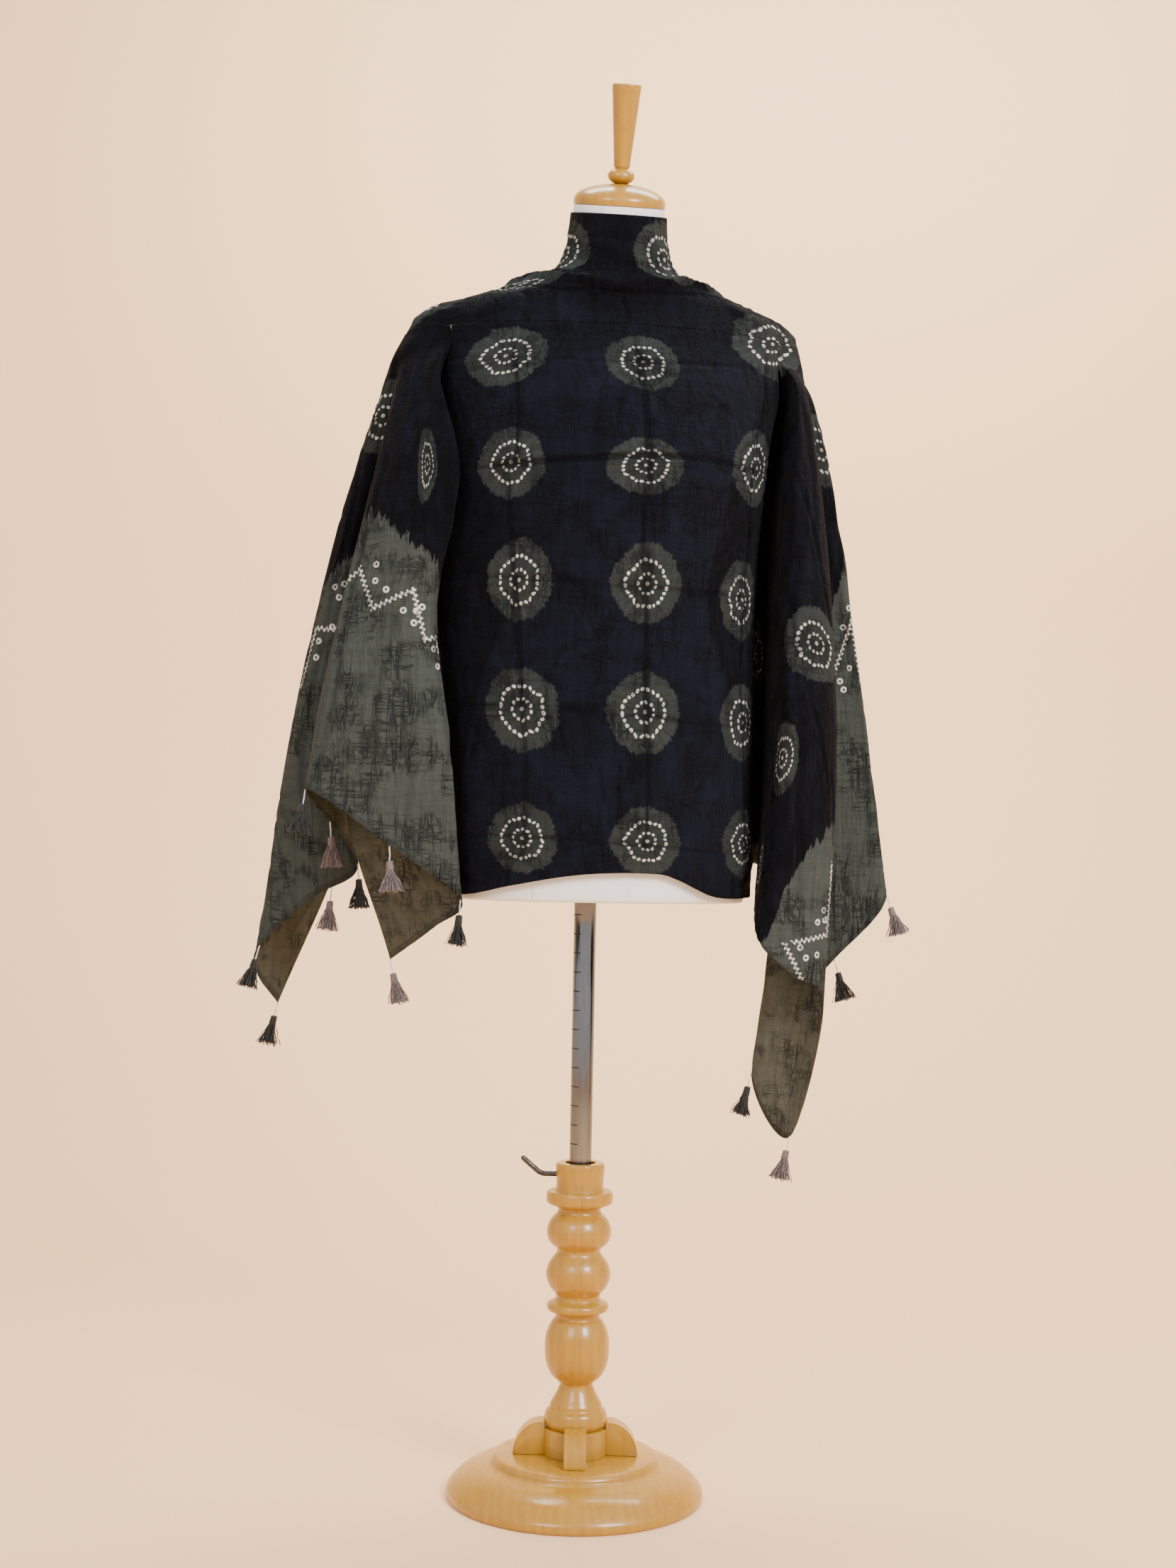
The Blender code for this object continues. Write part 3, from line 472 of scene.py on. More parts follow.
def stole_cotton(g, settings):
    """Crinkled cotton: dark ground, grey jagged patches with rings of dots, and grey ends."""
    x, y = g.uv("patch")
    far = g.distance(x, y)
    from_end, across = g.uv("fabric")
    dye, width = g.uv("dye")
    here = g.place()
    spoke = g.vector("NORMALIZE", g.point(x, y))
    drift = g.vector("SCALE", here, scale=4.0)

    def round_patch(turns, detail, roughness=0.55):
        """A noise that changes with the direction from the patch's middle."""
        at = g.vector("ADD", g.vector("SCALE", spoke, scale=turns), drift)
        return g.noise(at, 1.0, detail, roughness)

    rim = round_patch(9.0, 4.0, 0.75)
    spokes = round_patch(16.0, 3.0, 0.7)
    wobble = g.add(g.times(round_patch(1.5, 1.0), 0.52), 0.74)
    jitter = g.times(g.noise(here, 75.0, 1.0), 0.9)
    reach = g.times(g.add(g.times(wobble, 0.5), 0.5), settings.patch)
    edge = g.times(g.add(g.times(rim, 0.34), 0.83), reach)
    patch = g.ramp(g.less(far, edge), 0.0016, -0.0014)
    white = g.larger(ring_dots(g, settings, x, y, wobble, jitter), zigzag_dots(g, settings, jitter))
    white = g.times(white, g.ramp(g.noise(here, 420.0, 2.0), 0.28, 0.46))
    streak = g.noise(g.point(g.times(from_end, 7.0), g.times(across, 95.0)), 1.0, 4.0, 0.62)
    border = g.add(g.times(g.less(streak, 0.5), 0.055), settings.grey_end)
    end = g.ramp(g.less(dye, border), 0.0016, -0.0016)
    cloud = g.noise(here, 9.0, 4.0, 0.6)
    mottle = g.noise(g.place((1.0, 1.0, 0.45)), 60.0, 4.0, 0.65)

    # Painted light: the ground turns paler and bluer where the white form shines through the sheer cloth.
    ground = g.mix(g.attribute("backing"), rgba(settings.night), rgba(settings.ink))
    ground = g.stain(ground, rgba(settings.ink, 1.9), mottle, 0.35, 0.75, 0.45)
    ground = g.stain(ground, rgba(settings.night), cloud, 0.40, 0.70, 0.55)
    ash = g.stain(rgba(settings.ash), rgba(settings.ash, 0.50), spokes, 0.35, 0.70, 0.50)
    ash = g.stain(ash, rgba(settings.ash, 0.62), far, 0.030, 0.047, 0.30)
    grey = g.stain(rgba(settings.end_grey), rgba(settings.end_grey, 0.66), streak, 0.35, 0.72, 0.42)
    grey = g.stain(grey, rgba(settings.end_grey, 0.74), cloud, 0.42, 0.68, 0.40)
    lit = g.stain(rgba(settings.olive), rgba(settings.olive, 0.62), mottle, 0.30, 0.70, 0.5)
    inside = g.times(g.attribute("inner"), g.ramp(from_end, 0.21, 0.11, 0.25, 0.85))
    grey = g.mix(inside, grey, lit)
    hem = settings.end_hem
    grey = g.stain(grey, rgba(settings.end_grey, 0.42), from_end, hem * 1.06, hem * 0.94, 0.42)

    pattern = g.mix(patch, ground, ash)
    pattern = g.mix(end, pattern, grey)
    pattern = g.mix(white, pattern, rgba(settings.white))
    # Only the two hanging ends have a place across the width below 1
    hanging = g.math("LESS_THAN", width, 0.9)
    # Painted shade in the pressed creases, weaker on the hanging ends.
    shade = g.ramp(g.attribute("pleat"), 0.0002, 0.0014, 0.0, 0.62)
    shade = g.times(shade, g.math("MULTIPLY_ADD", hanging, -0.72, 1.0))
    pattern = g.mix(shade, pattern, rgba(settings.night, 0.5))
    crinkle = g.noise(g.place((0.35, 0.35, 2.2)), 55.0, 5.0, 0.66, 0.8)
    gathers = g.noise(g.place((2.4, 2.4, 0.30)), 42.0, 4.0, 0.62, 0.9)
    folds = g.larger(g.times(folds_of(g, crinkle, 4.5), 0.6), folds_of(g, gathers, 3.2))
    # Painted shade along the thin fold lines, which the bump below also presses in.
    pattern = g.mix(g.times(folds, 0.55), pattern, rgba(settings.night, 2.0))
    weave = g.noise(here, 950.0, 2.0, 0.5)
    normal = g.bump(crinkle, 0.0040, 0.9)
    normal = g.bump(gathers, 0.0060, 0.9, normal)
    normal = g.bump(g.times(folds, -1.0), 0.0022, 0.9, normal)
    normal = g.bump(spokes, 0.0034, g.times(patch, 0.9), normal)
    normal = g.bump(white, 0.0009, 0.8, normal)
    normal = g.bump(weave, 0.00035, 0.5, normal)
    return g.finish(pattern, 0.82, normal, Sheen_Weight=0.02, Sheen_Roughness=0.45, Specular_IOR_Level=0.06)


def varnished_wood(g, settings):
    slow = g.noise(g.place((1.0, 1.0, 0.10)), 34.0, 3.0, 0.5, 1.2)
    fine = g.noise(g.place((1.0, 1.0, 0.035)), 260.0, 4.0, 0.65)
    wave = {"Vector": g.place((1.0, 1.0, 0.06)), "Scale": 26.0, "Distortion": 7.0}
    rings = g.node("TexWave", wave | {"Detail": 3.0, "Detail Scale": 1.4}, bands_direction="X")
    base = g.stain(rgba(settings.wood), rgba(settings.wood, 0.86), slow, 0.35, 0.70, 0.55)
    base = g.mix(g.times(rings, 0.20), base, rgba(settings.grain))
    base = g.stain(base, rgba(settings.grain), fine, 0.52, 0.74, 0.45)
    smear = g.noise(g.place(), 18.0, 3.0)
    rough = g.ramp(smear, 0.3, 0.7, 0.24, 0.38)
    return g.finish(base, rough, g.bump(fine, 0.0002, 0.35), Coat_Weight=0.35, Coat_Roughness=0.12)


def plated_steel(g, settings):
    """Plating with a scribed mark at each step of height, on the left of the tube."""
    x, _, z = g.split(g.place())
    stray = g.noise(g.place(), 70.0, 2.0)
    height = g.add(z, g.times(stray, 0.0016))
    cell = g.math("ABSOLUTE", g.less(g.math("FRACT", g.times(height, 1 / MARK_STEP)), 0.5))
    left = g.ramp(g.add(x, g.times(stray, 0.004)), -0.0010, -0.0030)
    marks = g.times(g.ramp(cell, 0.040, 0.022), left)
    haze = g.noise(g.place((1.0, 1.0, 0.15)), 120.0, 4.0)
    base = g.mix(marks, rgba(settings.steel), rgba(MARK_TINT))
    rough = g.add(g.ramp(haze, 0.3, 0.75, 0.10, 0.26), g.times(marks, 0.25))
    return g.finish(base, rough, g.bump(haze, 0.0002, 0.25), Metallic=1.0)


def worn_rod(g, settings):
    wear = g.noise(g.place(), 240.0, 4.0, 0.6)
    base = g.mix(g.ramp(wear, 0.4, 0.7), rgba(settings.rod), rgba(ROD_WORN))
    return g.finish(base, g.ramp(wear, 0.3, 0.7, 0.30, 0.48), g.bump(wear, 0.0002, 0.4), Metallic=1.0)


def form_cotton(g, settings):
    threads = g.noise(g.place(), 900.0, 2.0)
    slub = g.noise(g.place((0.3, 0.3, 3.0)), 110.0, 3.0)
    soft = g.noise(g.place(), 12.0, 3.0)
    base = g.stain(rgba(settings.cotton), rgba(settings.cotton, 0.93), soft, 0.35, 0.7, 0.4)
    base = g.stain(base, rgba(settings.cotton, 0.82), threads, 0.4, 0.65, 0.25)
    normal = g.bump(g.ramp(g.attribute("seam"), 0.0002, 0.0016), 0.0007, 0.8)
    normal = g.bump(threads, 0.0002, 0.5, normal)
    return g.finish(base, 0.86, g.bump(slub, 0.0003, 0.5, normal), Sheen_Weight=0.15)


def twisted_thread(g, value):
    twist = g.noise(g.place((1.0, 1.0, 0.4)), 700.0, 3.0)
    base = g.mix(g.ramp(twist, 0.35, 0.7), rgba(value), rgba(value, 0.55))
    return g.finish(base, 0.62, g.bump(twist, 0.0003, 0.6), Sheen_Weight=0.1)


# Smooth surfaces


def spline(points, places):
    """Points on smooth curves through the first axis of points; whole places are the points."""
    points = np.asarray(points, float)
    last = len(points) - 1
    index = np.clip(places.astype(int), 0, last - 1)
    shape = (-1,) + (1,) * (points.ndim - 1)
    t = (places - index).reshape(shape)
    p1 = points[index]
    p2 = points[index + 1]
    p0 = np.where((index > 0).reshape(shape), points[np.maximum(index - 1, 0)], p1 * 2 - p2)
    p3 = np.where((index + 2 <= last).reshape(shape), points[np.minimum(index + 2, last)], p2 * 2 - p1)
    bend = p0 * 2 - p1 * 5 + p2 * 4 - p3
    twist = p1 * 3 - p0 - p2 * 3 + p3
    return (p1 * 2 + (p2 - p0) * t + bend * t**2 + twist * t**3) * 0.5


def table_at(rows, key, value):
    """Reads a table of namedtuples smoothly at a value of its key column."""
    keys = [getattr(row, key) for row in rows]
    value = min(max(value, keys[0]), keys[-1])
    index = max(i for i in range(len(keys) - 1) if keys[i] <= value)
    span = keys[index + 1] - keys[index]
    t = (value - keys[index]) / span

    def slope(i, field):
        low = max(i - 1, 0)
        high = min(i + 1, len(rows) - 1)
        return (getattr(rows[high], field) - getattr(rows[low], field)) / (keys[high] - keys[low])

    found = {}
    for field in rows[0]._fields:
        found[field] = (
            getattr(rows[index], field) * (2 * t**3 - 3 * t**2 + 1)
            + slope(index, field) * span * (t**3 - 2 * t**2 + t)
            + getattr(rows[index + 1], field) * (3 * t**2 - 2 * t**3)
            + slope(index + 1, field) * span * (t**3 - t**2)
        )
    return rows[0].__class__(**found)


def form_point(angle, z):
    """A point of the form's surface. The angle is in degrees from the front, positive to the right."""
    section = table_at(FORM_SECTIONS, "z", z)
    turn = math.radians(angle)
    depth = section.front if math.cos(turn) > 0 else section.back
    across = section.half_width * math.sin(turn)
    ahead = depth * math.cos(turn)
    drop = math.tan(math.radians(section.tilt)) * ahead
    lean = math.tan(math.radians(FORM_LEAN)) * across * (z - FORM_BOTTOM) / (FORM_TOP - FORM_BOTTOM)
    point = FORM_CENTRE + SIDE * across + FACING * (ahead + section.forward)
    return Vector((point.x, point.y, z - drop + lean))


def over_form(angle, z, clear):
    """A point lifted off the form along its surface's own direction."""
    around = form_point(angle + 2, z) - form_point(angle - 2, z)
    upward = form_point(angle, min(z + 0.003, FORM_TOP)) - form_point(angle, z - 0.003)
    return form_point(angle, z) + around.cross(upward).normalized() * clear


def yoke_point(angle, z):
    """A point of the cloth on the shoulders, which stands off the two shoulder tips."""
    swing = min(abs(abs(angle) - SHOULDER_ANGLE) / SHOULDER_SPAN, 1.0)
    drop = min(max((SHOULDER_HEIGHT - z) / (SHOULDER_HEIGHT - YOKE_EDGE), 0.0), 1.6)
    lift = (SHOULDER_LIFT_LEFT if angle < 0 else SHOULDER_LIFT_RIGHT) * drop
    return over_form(angle, z, CLOTH_CLEARANCE + lift * math.cos(swing * math.pi / 2) ** 2)


def panel_line(share):
    """A line down the front panel. The share runs from its left side, 0, to its right side, 1."""
    place = 2 * share - 1
    top = YOKE_EDGE - SEAM
    under = max(-place - 0.9, 0.0) * 10
    points = [yoke_point(PANEL_TOP_ANGLE * place, top)]
    fold = yoke_point(PANEL_TOP_ANGLE * place - under * 3, top - FOLD_START)
    points.append(fold + (FORM_CENTRE - fold).to_2d().normalized().to_3d() * under * 0.0015)
    for drape in PANEL_SECTIONS:
        tuck = PANEL_TUCK * under if drape is PANEL_SECTIONS[0] else 0.0
        turn = math.radians(drape.widest * place - tuck)
        reach = drape.left if place < 0 else drape.right
        spot = FORM_CENTRE + SIDE * reach * math.sin(turn) + FACING * drape.front * math.cos(turn)
        points.append(Vector((spot.x, spot.y, drape.z)))
    points[-1].z = table_at(PANEL_HEM, "place", share).z
    return [tuple(point) for point in points]


def fall_line(line):
    """A fall's line as points, from the yoke's edge to its hem."""
    top = YOKE_EDGE - SEAM
    points = [tuple(yoke_point(line.angle, z)) for z in (top, top - FOLD_START)]
    return points + [line.shoulder, line.chest, line.waist, line.hip, line.hem]


# Cloth

# A patch is a tied spot: where it lies on its stretch, and its width and height against the usual.
Patch = namedtuple("Patch", "column row wide tall past aside", defaults=(1.0, 1.0, 0.0, 0.0))
# A crease runs from one place to another on its stretch, in lines and in shares of the length.
Crease = namedtuple("Crease", "column row to_column to_row depth width")


class Cloth:
    """One stretch of the stole as a fine grid of points, rows from top to bottom."""

    def __init__(self, lines, columns, rows, facing=1):
        """The lines are lists of points. Facing is 1 where they run to the right, else -1."""
        lines = np.asarray(lines, float)
        self.facing = facing
        self.columns = np.linspace(0, len(lines) - 1, columns)
        self.rows = np.linspace(0, 1, rows)
        down = spline(lines.transpose(1, 0, 2), self.rows * (lines.shape[1] - 1))
        self.grid = spline(down.transpose(1, 0, 2), self.columns).transpose(1, 0, 2)
        step_x = np.linalg.norm(np.diff(self.grid, axis=1), axis=2)
        step_y = np.linalg.norm(np.diff(self.grid, axis=0), axis=2)
        self.x = np.pad(np.cumsum(step_x, axis=1), ((0, 0), (1, 0)))
        self.y = np.pad(np.cumsum(step_y, axis=0), ((1, 0), (0, 0)))
        self.x -= self.x.mean(axis=1, keepdims=True)
        down = np.gradient(self.grid, axis=0)
        side = np.gradient(self.grid, axis=1)
        out = np.cross(down, side) * facing
        self.out = out / np.linalg.norm(out, axis=2, keepdims=True)
        self.lift = np.zeros(self.x.shape)
        self.plain = np.full((1,) + self.x.shape, 1.0)
        names = ("patch", "zigzag", "bay", "fabric", "dye")
        self.maps = {name: (self.plain, self.plain, self.plain) for name in names}
        # Painted light where the white form shines through the cloth, from 0 to 1.
        self.backing = np.zeros(self.x.shape)
        # The depth of the pressed creases at each point, for the painted shade in them.
        self.pleat = np.zeros(self.x.shape)

    def at(self, column, row):
        """The nearest grid place to a column in lines and a row as a share of the length."""
        return int(np.abs(self.rows - row).argmin()), int(np.abs(self.columns - column).argmin())

    def around(self, column, row, past=0.0, aside=0.0):
        """Every point's distances across and down from a place, or from one past the edge."""
        i, j = self.at(column, row)
        dx = self.x - self.x[:, j:j + 1] - aside
        dy = self.y - self.y[i:i + 1, :] - past
        return dx, dy

    def add_patches(self, patches, radius):
        """Each point's place against its nearest patch, and the puckers round that patch."""
        dx, dy = [], []
        for patch in patches:
            x, y = self.around(patch.column, patch.row, patch.past, patch.aside)
            dx.append(x / patch.wide)
            dy.append(y / patch.tall)
        far = np.hypot(dx, dy)
        self.maps["patch"] = (np.array(dx), np.array(dy), far)
        nearest = far.argmin(axis=0)
        best = np.take_along_axis(far, nearest[None], 0)[0]
        px = np.take_along_axis(np.array(dx), nearest[None], 0)[0]
        py = np.take_along_axis(np.array(dy), nearest[None], 0)[0]
        turn = np.arctan2(py, px)
        share = np.clip(best / (radius * PUCKER_REACH), 0, 1)
        window = np.sin(np.pi * share) ** 2
        ripples = np.sin(turn * 13 + 3 * np.sin(turn * 2)) + 0.6 * np.sin(turn * 21 + 1.3)
        self.lift += PUCKER_HEIGHT * ripples * window
        self.lift += DOME_HEIGHT * np.exp(-((best / DOME_WIDTH) ** 2))

    def press(self, start, end, depth, width):
        """Presses one crease, from a place to another in metres across and down."""
        run = np.subtract(end, start)
        reach = np.linalg.norm(run)
        run = run / reach
        ax = self.x - start[0]
        ay = self.y - start[1]
        along = (ax * run[0] + ay * run[1]) / reach
        bow = 0.014 * reach * np.sin(along * 5.1 + start[0] * 90)
        off = -ax * run[1] + ay * run[0] - bow
        fade = np.clip(np.minimum(along, 1 - along) * 4 + 0.15, 0, 1)
        trough = np.exp(-((off / width) ** 2))
        banks = np.exp(-(((np.abs(off) - width * 2) / width) ** 2))
        self.lift -= depth * fade * (trough - 0.45 * banks)
        # Records the crease's depth for the painted shade in it.
        self.pleat += max(depth, 0.0) * fade * trough

    def add_creases(self, creases):
        for crease in creases:
            ends = []
            for column, row in ((crease.column, crease.row), (crease.to_column, crease.to_row)):
                i, j = self.at(column, row)
                ends.append((self.x[i, j], self.y[i, j]))
            self.press(*ends, crease.depth, crease.width)

    def add_band(self, row, depth, width):
        """Presses one crease along a whole row, a little wavy. A ridge has a negative depth."""
        wavy = row + 0.022 * np.sin(self.columns * 0.62) + 0.010 * np.sin(self.columns * 1.9 + 1)
        level = np.take_along_axis(self.y, np.abs(self.rows[:, None] - wavy).argmin(axis=0)[None], 0)
        trough = np.exp(-(((self.y - level) / width) ** 2))
        self.lift -= depth * trough
        # Records the band's depth for the painted shade in it.
        self.pleat += max(depth, 0.0) * trough

    def add_crinkles(self, seed, number, lean, spread, reach=(0.02, 0.09), depth=(0.0002, 0.0008)):
        """Seeded creases, most of them near one direction."""
        rng = np.random.default_rng(seed)
        low_x, high_x = self.x.min(), self.x.max()
        high_y = self.y.max()
        for _ in range(number):
            turn = math.radians(lean + rng.normal(0, spread))
            run = rng.uniform(*reach)
            x = rng.uniform(low_x, high_x)
            y = rng.uniform(0, high_y)
            end = (x + run * math.cos(turn), y + run * math.sin(turn))
            self.press((x, y), end, rng.uniform(*depth), rng.uniform(0.0022, 0.0050))

    def settle(self, top, bottom, sides, low=-0.0013):
        """Flattens the folds near the edges that meet other stretches, and keeps them off the form."""
        down = self.y / top if top else np.full(self.y.shape, 1.0)
        up = (self.y[-1:, :] - self.y) / bottom if bottom else np.full(self.y.shape, 1.0)
        left = (self.x - self.x[:, :1]) / sides
        right = (self.x[:, -1:] - self.x) / sides
        near = np.clip(np.minimum.reduce([down, up, left, right]), 0, 1)
        self.lift = np.maximum(self.lift, low) * near * near * (3 - 2 * near)

    def width_near(self, from_end):
        """How far each line lies across the fall, measured at the zigzag's height."""
        rows = np.abs(from_end - ZIGZAG_AWAY).argmin(axis=0)
        steps = [self.x[i, j + 1] - self.x[i, j] for j, i in enumerate(rows[:-1])]
        return np.tile(np.concatenate([[0.0], np.cumsum(steps)]), (len(self.rows), 1))

    def spot(self, from_end, line, away):
        """The grid place on a line at a distance from the end."""
        j = int(np.abs(self.columns - line).argmin())
        return int(np.abs(from_end[:, j] - away).argmin()), j

    def add_zigzag(self, from_end, corners):
        """The line of dots near an end, through places given in lines and metres from the end."""
        width = self.width_near(from_end)
        spots = [self.spot(from_end, line, away) for line, away in corners]
        runs, offs, fars = [], [], []
        total = 0.0
        for a, b in zip(spots, spots[1:]):
            step = np.array([width[b] - width[a], from_end[b] - from_end[a]])
            reach = np.linalg.norm(step)
            apart = np.stack([width - width[a], from_end - from_end[a]], axis=2)
            along = apart @ step / reach
            past = np.maximum(np.maximum(-along, along - reach), 0)
            aside = apart @ np.array([-step[1], step[0]]) / reach
            run = self.grid[b] - self.grid[a]
            span = np.linalg.norm(run)
            over = np.cross(self.out[a] + self.out[b], run)
            off = (self.grid - self.grid[a]) @ (over / np.linalg.norm(over))
            off += np.copysign(np.maximum(np.hypot(aside, past) - STROKE_REACH, 0) * 20, off)
            offs.append(off)
            runs.append(total + (self.grid - self.grid[a]) @ run / span)
            fars.append(np.hypot(aside, past) - 0.01 * np.abs(off))
            total += span
        self.maps["zigzag"] = (np.array(offs), np.array(runs), np.array(fars))

    def add_bays(self, from_end, spots):
        """Small ringed dots beside the zigzag, at places in lines and metres from the end."""
        dx, dy, fars = [], [], []
        for line, away in spots:
            i, j = self.spot(from_end, line, away)
            off = self.grid - self.grid[i, j]
            side = self.grid[i, min(j + 1, len(self.columns) - 1)] - self.grid[i, max(j - 1, 0)]
            side /= np.linalg.norm(side)
            behind = np.abs(off @ self.out[i, j]) > EYE_REACH
            dx.append(np.where(behind, 1.0, off @ side))
            dy.append(off @ np.cross(self.out[i, j], side))
            fars.append(np.linalg.norm(off, axis=2))
        self.maps["bay"] = (np.array(dx), np.array(dy), np.array(fars))

    def build(self, name, settings, node, flat, area=None):
        """The stretch as a thin closed wall with its maps, in place of its solid."""
        rows, columns = self.x.shape
        middle = self.grid + self.out * self.lift[..., None]
        half = settings.wall / 2
        points = np.concatenate([middle + self.out * half, middle - self.out * half]).reshape(-1, 3)
        size = rows * columns
        i, j = np.meshgrid(np.arange(rows - 1), np.arange(columns - 1), indexing="ij")
        a = (i * columns + j).ravel()
        front = np.stack([a, a + columns, a + columns + 1, a + 1], axis=1)
        back = np.stack([a, a + 1, a + columns + 1, a + columns], axis=1) + size
        rim = np.concatenate([
            np.arange(columns), np.arange(1, rows) * columns + columns - 1,
            (rows - 1) * columns + np.arange(columns - 2, -1, -1), np.arange(rows - 2, 0, -1) * columns,
        ])
        after = np.roll(rim, -1)
        edge = np.stack([rim, after, after + size, rim + size], axis=1)
        faces = np.concatenate([front, back, edge])[:, ::self.facing]
        mesh = bpy.data.meshes.new(name)
        mesh.vertices.add(len(points))
        mesh.vertices.foreach_set("co", points.ravel())
        mesh.loops.add(faces.size)
        mesh.loops.foreach_set("vertex_index", faces.ravel())
        mesh.polygons.add(len(faces))
        mesh.polygons.foreach_set("loop_start", np.arange(0, faces.size, 4))
        mesh.update(calc_edges=True)
        mesh.validate()
        corner = faces % size
        for key, layers in self.maps.items():
            u, v, far = [layer.reshape(-1, size) for layer in layers]
            nearest = far[:, corner].mean(axis=2).argmin(axis=0)[:, None]
            pair = np.stack([u[nearest, corner], v[nearest, corner]], axis=-1)
            mesh.uv_layers.new(name=key).data.foreach_set("uv", pair.ravel())
        # The shader's numbers at each point: painted light through the cloth, painted shade in the creases,
        # and which face is the inside.
        backing = np.tile(self.backing.ravel(), 2)
        pleat = np.tile(self.pleat.ravel(), 2)
        inner = np.repeat([0.0, 1.0], size)
        for key, values in (("inner", inner), ("backing", backing), ("pleat", pleat)):
            mesh.attributes.new(key, "FLOAT", "POINT").data.foreach_set("value", values)
        mesh.shade_smooth()
        mesh.materials.append(finish_of("crinkled_bandhani", stole_cotton, settings))
        piece = show(name, mesh, "form", "stole_cotton", node)


def show(name, mesh, body, slot, *nodes):
    """Adds a mesh as a piece that rides on a body, and stands for its solids."""
    piece = bpy.data.objects.new(name, mesh)
    bpy.context.scene.collection.objects.link(piece)
    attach(piece, body)
    if nodes:
        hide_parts(*nodes)
    return piece


# Where each stretch's tied spots lie: its line, its share of the length, and its size.
NECK_PATCHES = (
    Patch(4.7, 0.28, 1.0, 0.95), Patch(18.6, 0.29), Patch(6.8, 0.60, 0.8, 0.8), Patch(30.5, 0.30),
    Patch(12.6, 0.92, 0.9, 0.9, 0.075), Patch(20.5, 1.00, 1.40, 0.98, 0.008),
    Patch(5.4, 1.00, 1.05, 0.85, 0.042), Patch(2.0, 0.85), Patch(25.5, 0.62), Patch(30.0, 0.95),
)
FRONT_PATCHES = (
    Patch(5.4, 0.161, 1.05, 0.86), Patch(13.6, 0.166, 1.02, 0.83), Patch(24.6, 0.020, 1.40, 0.98),
    Patch(6.9, 0.385, 0.90, 0.90), Patch(13.4, 0.385, 1.04, 0.73), Patch(21.1, 0.361, 1.0, 1.0),
    Patch(7.5, 0.566, 0.85, 1.03), Patch(13.7, 0.566, 0.94, 1.03), Patch(20.6, 0.576, 0.9, 1.04),
    Patch(7.5, 0.737, 0.96, 1.07), Patch(13.7, 0.737, 0.98, 1.07), Patch(21.1, 0.741, 0.95, 1.05),
    Patch(7.4, 0.917, 0.92, 0.90), Patch(13.9, 0.922, 0.96, 0.88), Patch(21.3, 0.917, 0.95, 0.92),
)
LEFT_PATCHES = (
    Patch(5.6, 0.396), Patch(2.8, 0.487, 0.27, 1.0), Patch(0.6, 0.47, 0.8, 1.0), Patch(8.2, 0.38),
)
RIGHT_PATCHES = (
    Patch(0.0, 0.0, 1.40, 0.98, 0.0, -0.018), Patch(8.4, 0.404),
    Patch(3.1, 0.696), Patch(2.2, 0.830, 0.46, 0.98), Patch(1.8, 0.947, 0.40, 0.85), Patch(0.4, 0.70),
    Patch(12.0, 0.42), Patch(11.4, 0.13),
)
# The zigzags' corners: the line on the fall, and the distance from the end hem.
LEFT_ZIGZAG = (
    (0.0, 0.250), (0.4, 0.280), (0.9, 0.250), (1.3, 0.280), (1.7, 0.252), (2.03, 0.282), (2.37, 0.259),
    (2.68, 0.293), (3.37, 0.227), (3.72, 0.250), (4.2, 0.225), (4.7, 0.290), (5.5, 0.285), (6.55, 0.336),
    (6.70, 0.281), (7.3, 0.300), (7.6, 0.250), (8.2, 0.300), (8.5, 0.255), (9.0, 0.290),
)
RIGHT_ZIGZAG = (
    (3.3, 0.210), (2.82, 0.281), (3.9, 0.245), (3.95, 0.318), (4.4, 0.270), (4.8, 0.310), (5.4, 0.265),
    (6.2, 0.300), (7.0, 0.260), (7.75, 0.262), (7.8, 0.330), (8.8, 0.332), (8.95, 0.270), (9.6, 0.300),
    (10.3, 0.255), (11.0, 0.300), (12.0, 0.255), (13.0, 0.300),
)
LEFT_BAYS = (
    (3.45, 0.270), (3.20, 0.262), (3.42, 0.254), (2.82, 0.262), (2.55, 0.277), (2.60, 0.262), (2.45, 0.290),
    (2.18, 0.262), (2.10, 0.247), (6.10, 0.356), (5.80, 0.345), (5.85, 0.330), (6.30, 0.306), (5.90, 0.300),
    (6.25, 0.284), (1.1, 0.285), (1.2, 0.262), (0.7, 0.285), (0.5, 0.255), (4.4, 0.285), (4.9, 0.260),
    (7.9, 0.305), (8.0, 0.270), (8.7, 0.300),
)
RIGHT_BAYS = (
    (3.55, 0.268), (3.70, 0.280), (3.75, 0.262), (3.20, 0.255), (3.35, 0.240), (3.6, 0.232), (4.6, 0.312),
    (4.2, 0.315), (5.1, 0.272), (5.8, 0.300), (6.6, 0.265), (7.4, 0.295), (8.2, 0.310), (8.5, 0.300),
    (8.3, 0.290), (8.4, 0.352), (8.7, 0.356), (9.3, 0.272), (10.0, 0.300), (10.7, 0.262), (11.5, 0.305),
    (12.4, 0.262),
)
# How far above the zigzag's band the grey begins, by line: added to the distance from the hem.
LEFT_DYE = (
    (0.0, 0.010), (2.41, 0.012), (3.2, 0.035), (3.9, 0.056), (5.2, 0.0), (6.7, -0.034), (9.0, -0.010),
)
RIGHT_DYE = (
    (0.0, 0.050), (2.4, 0.050), (2.7, 0.005), (3.7, -0.012), (6.0, 0.0), (7.5, -0.040), (9.0, -0.045),
    (11.0, -0.010), (13.0, 0.0),
)
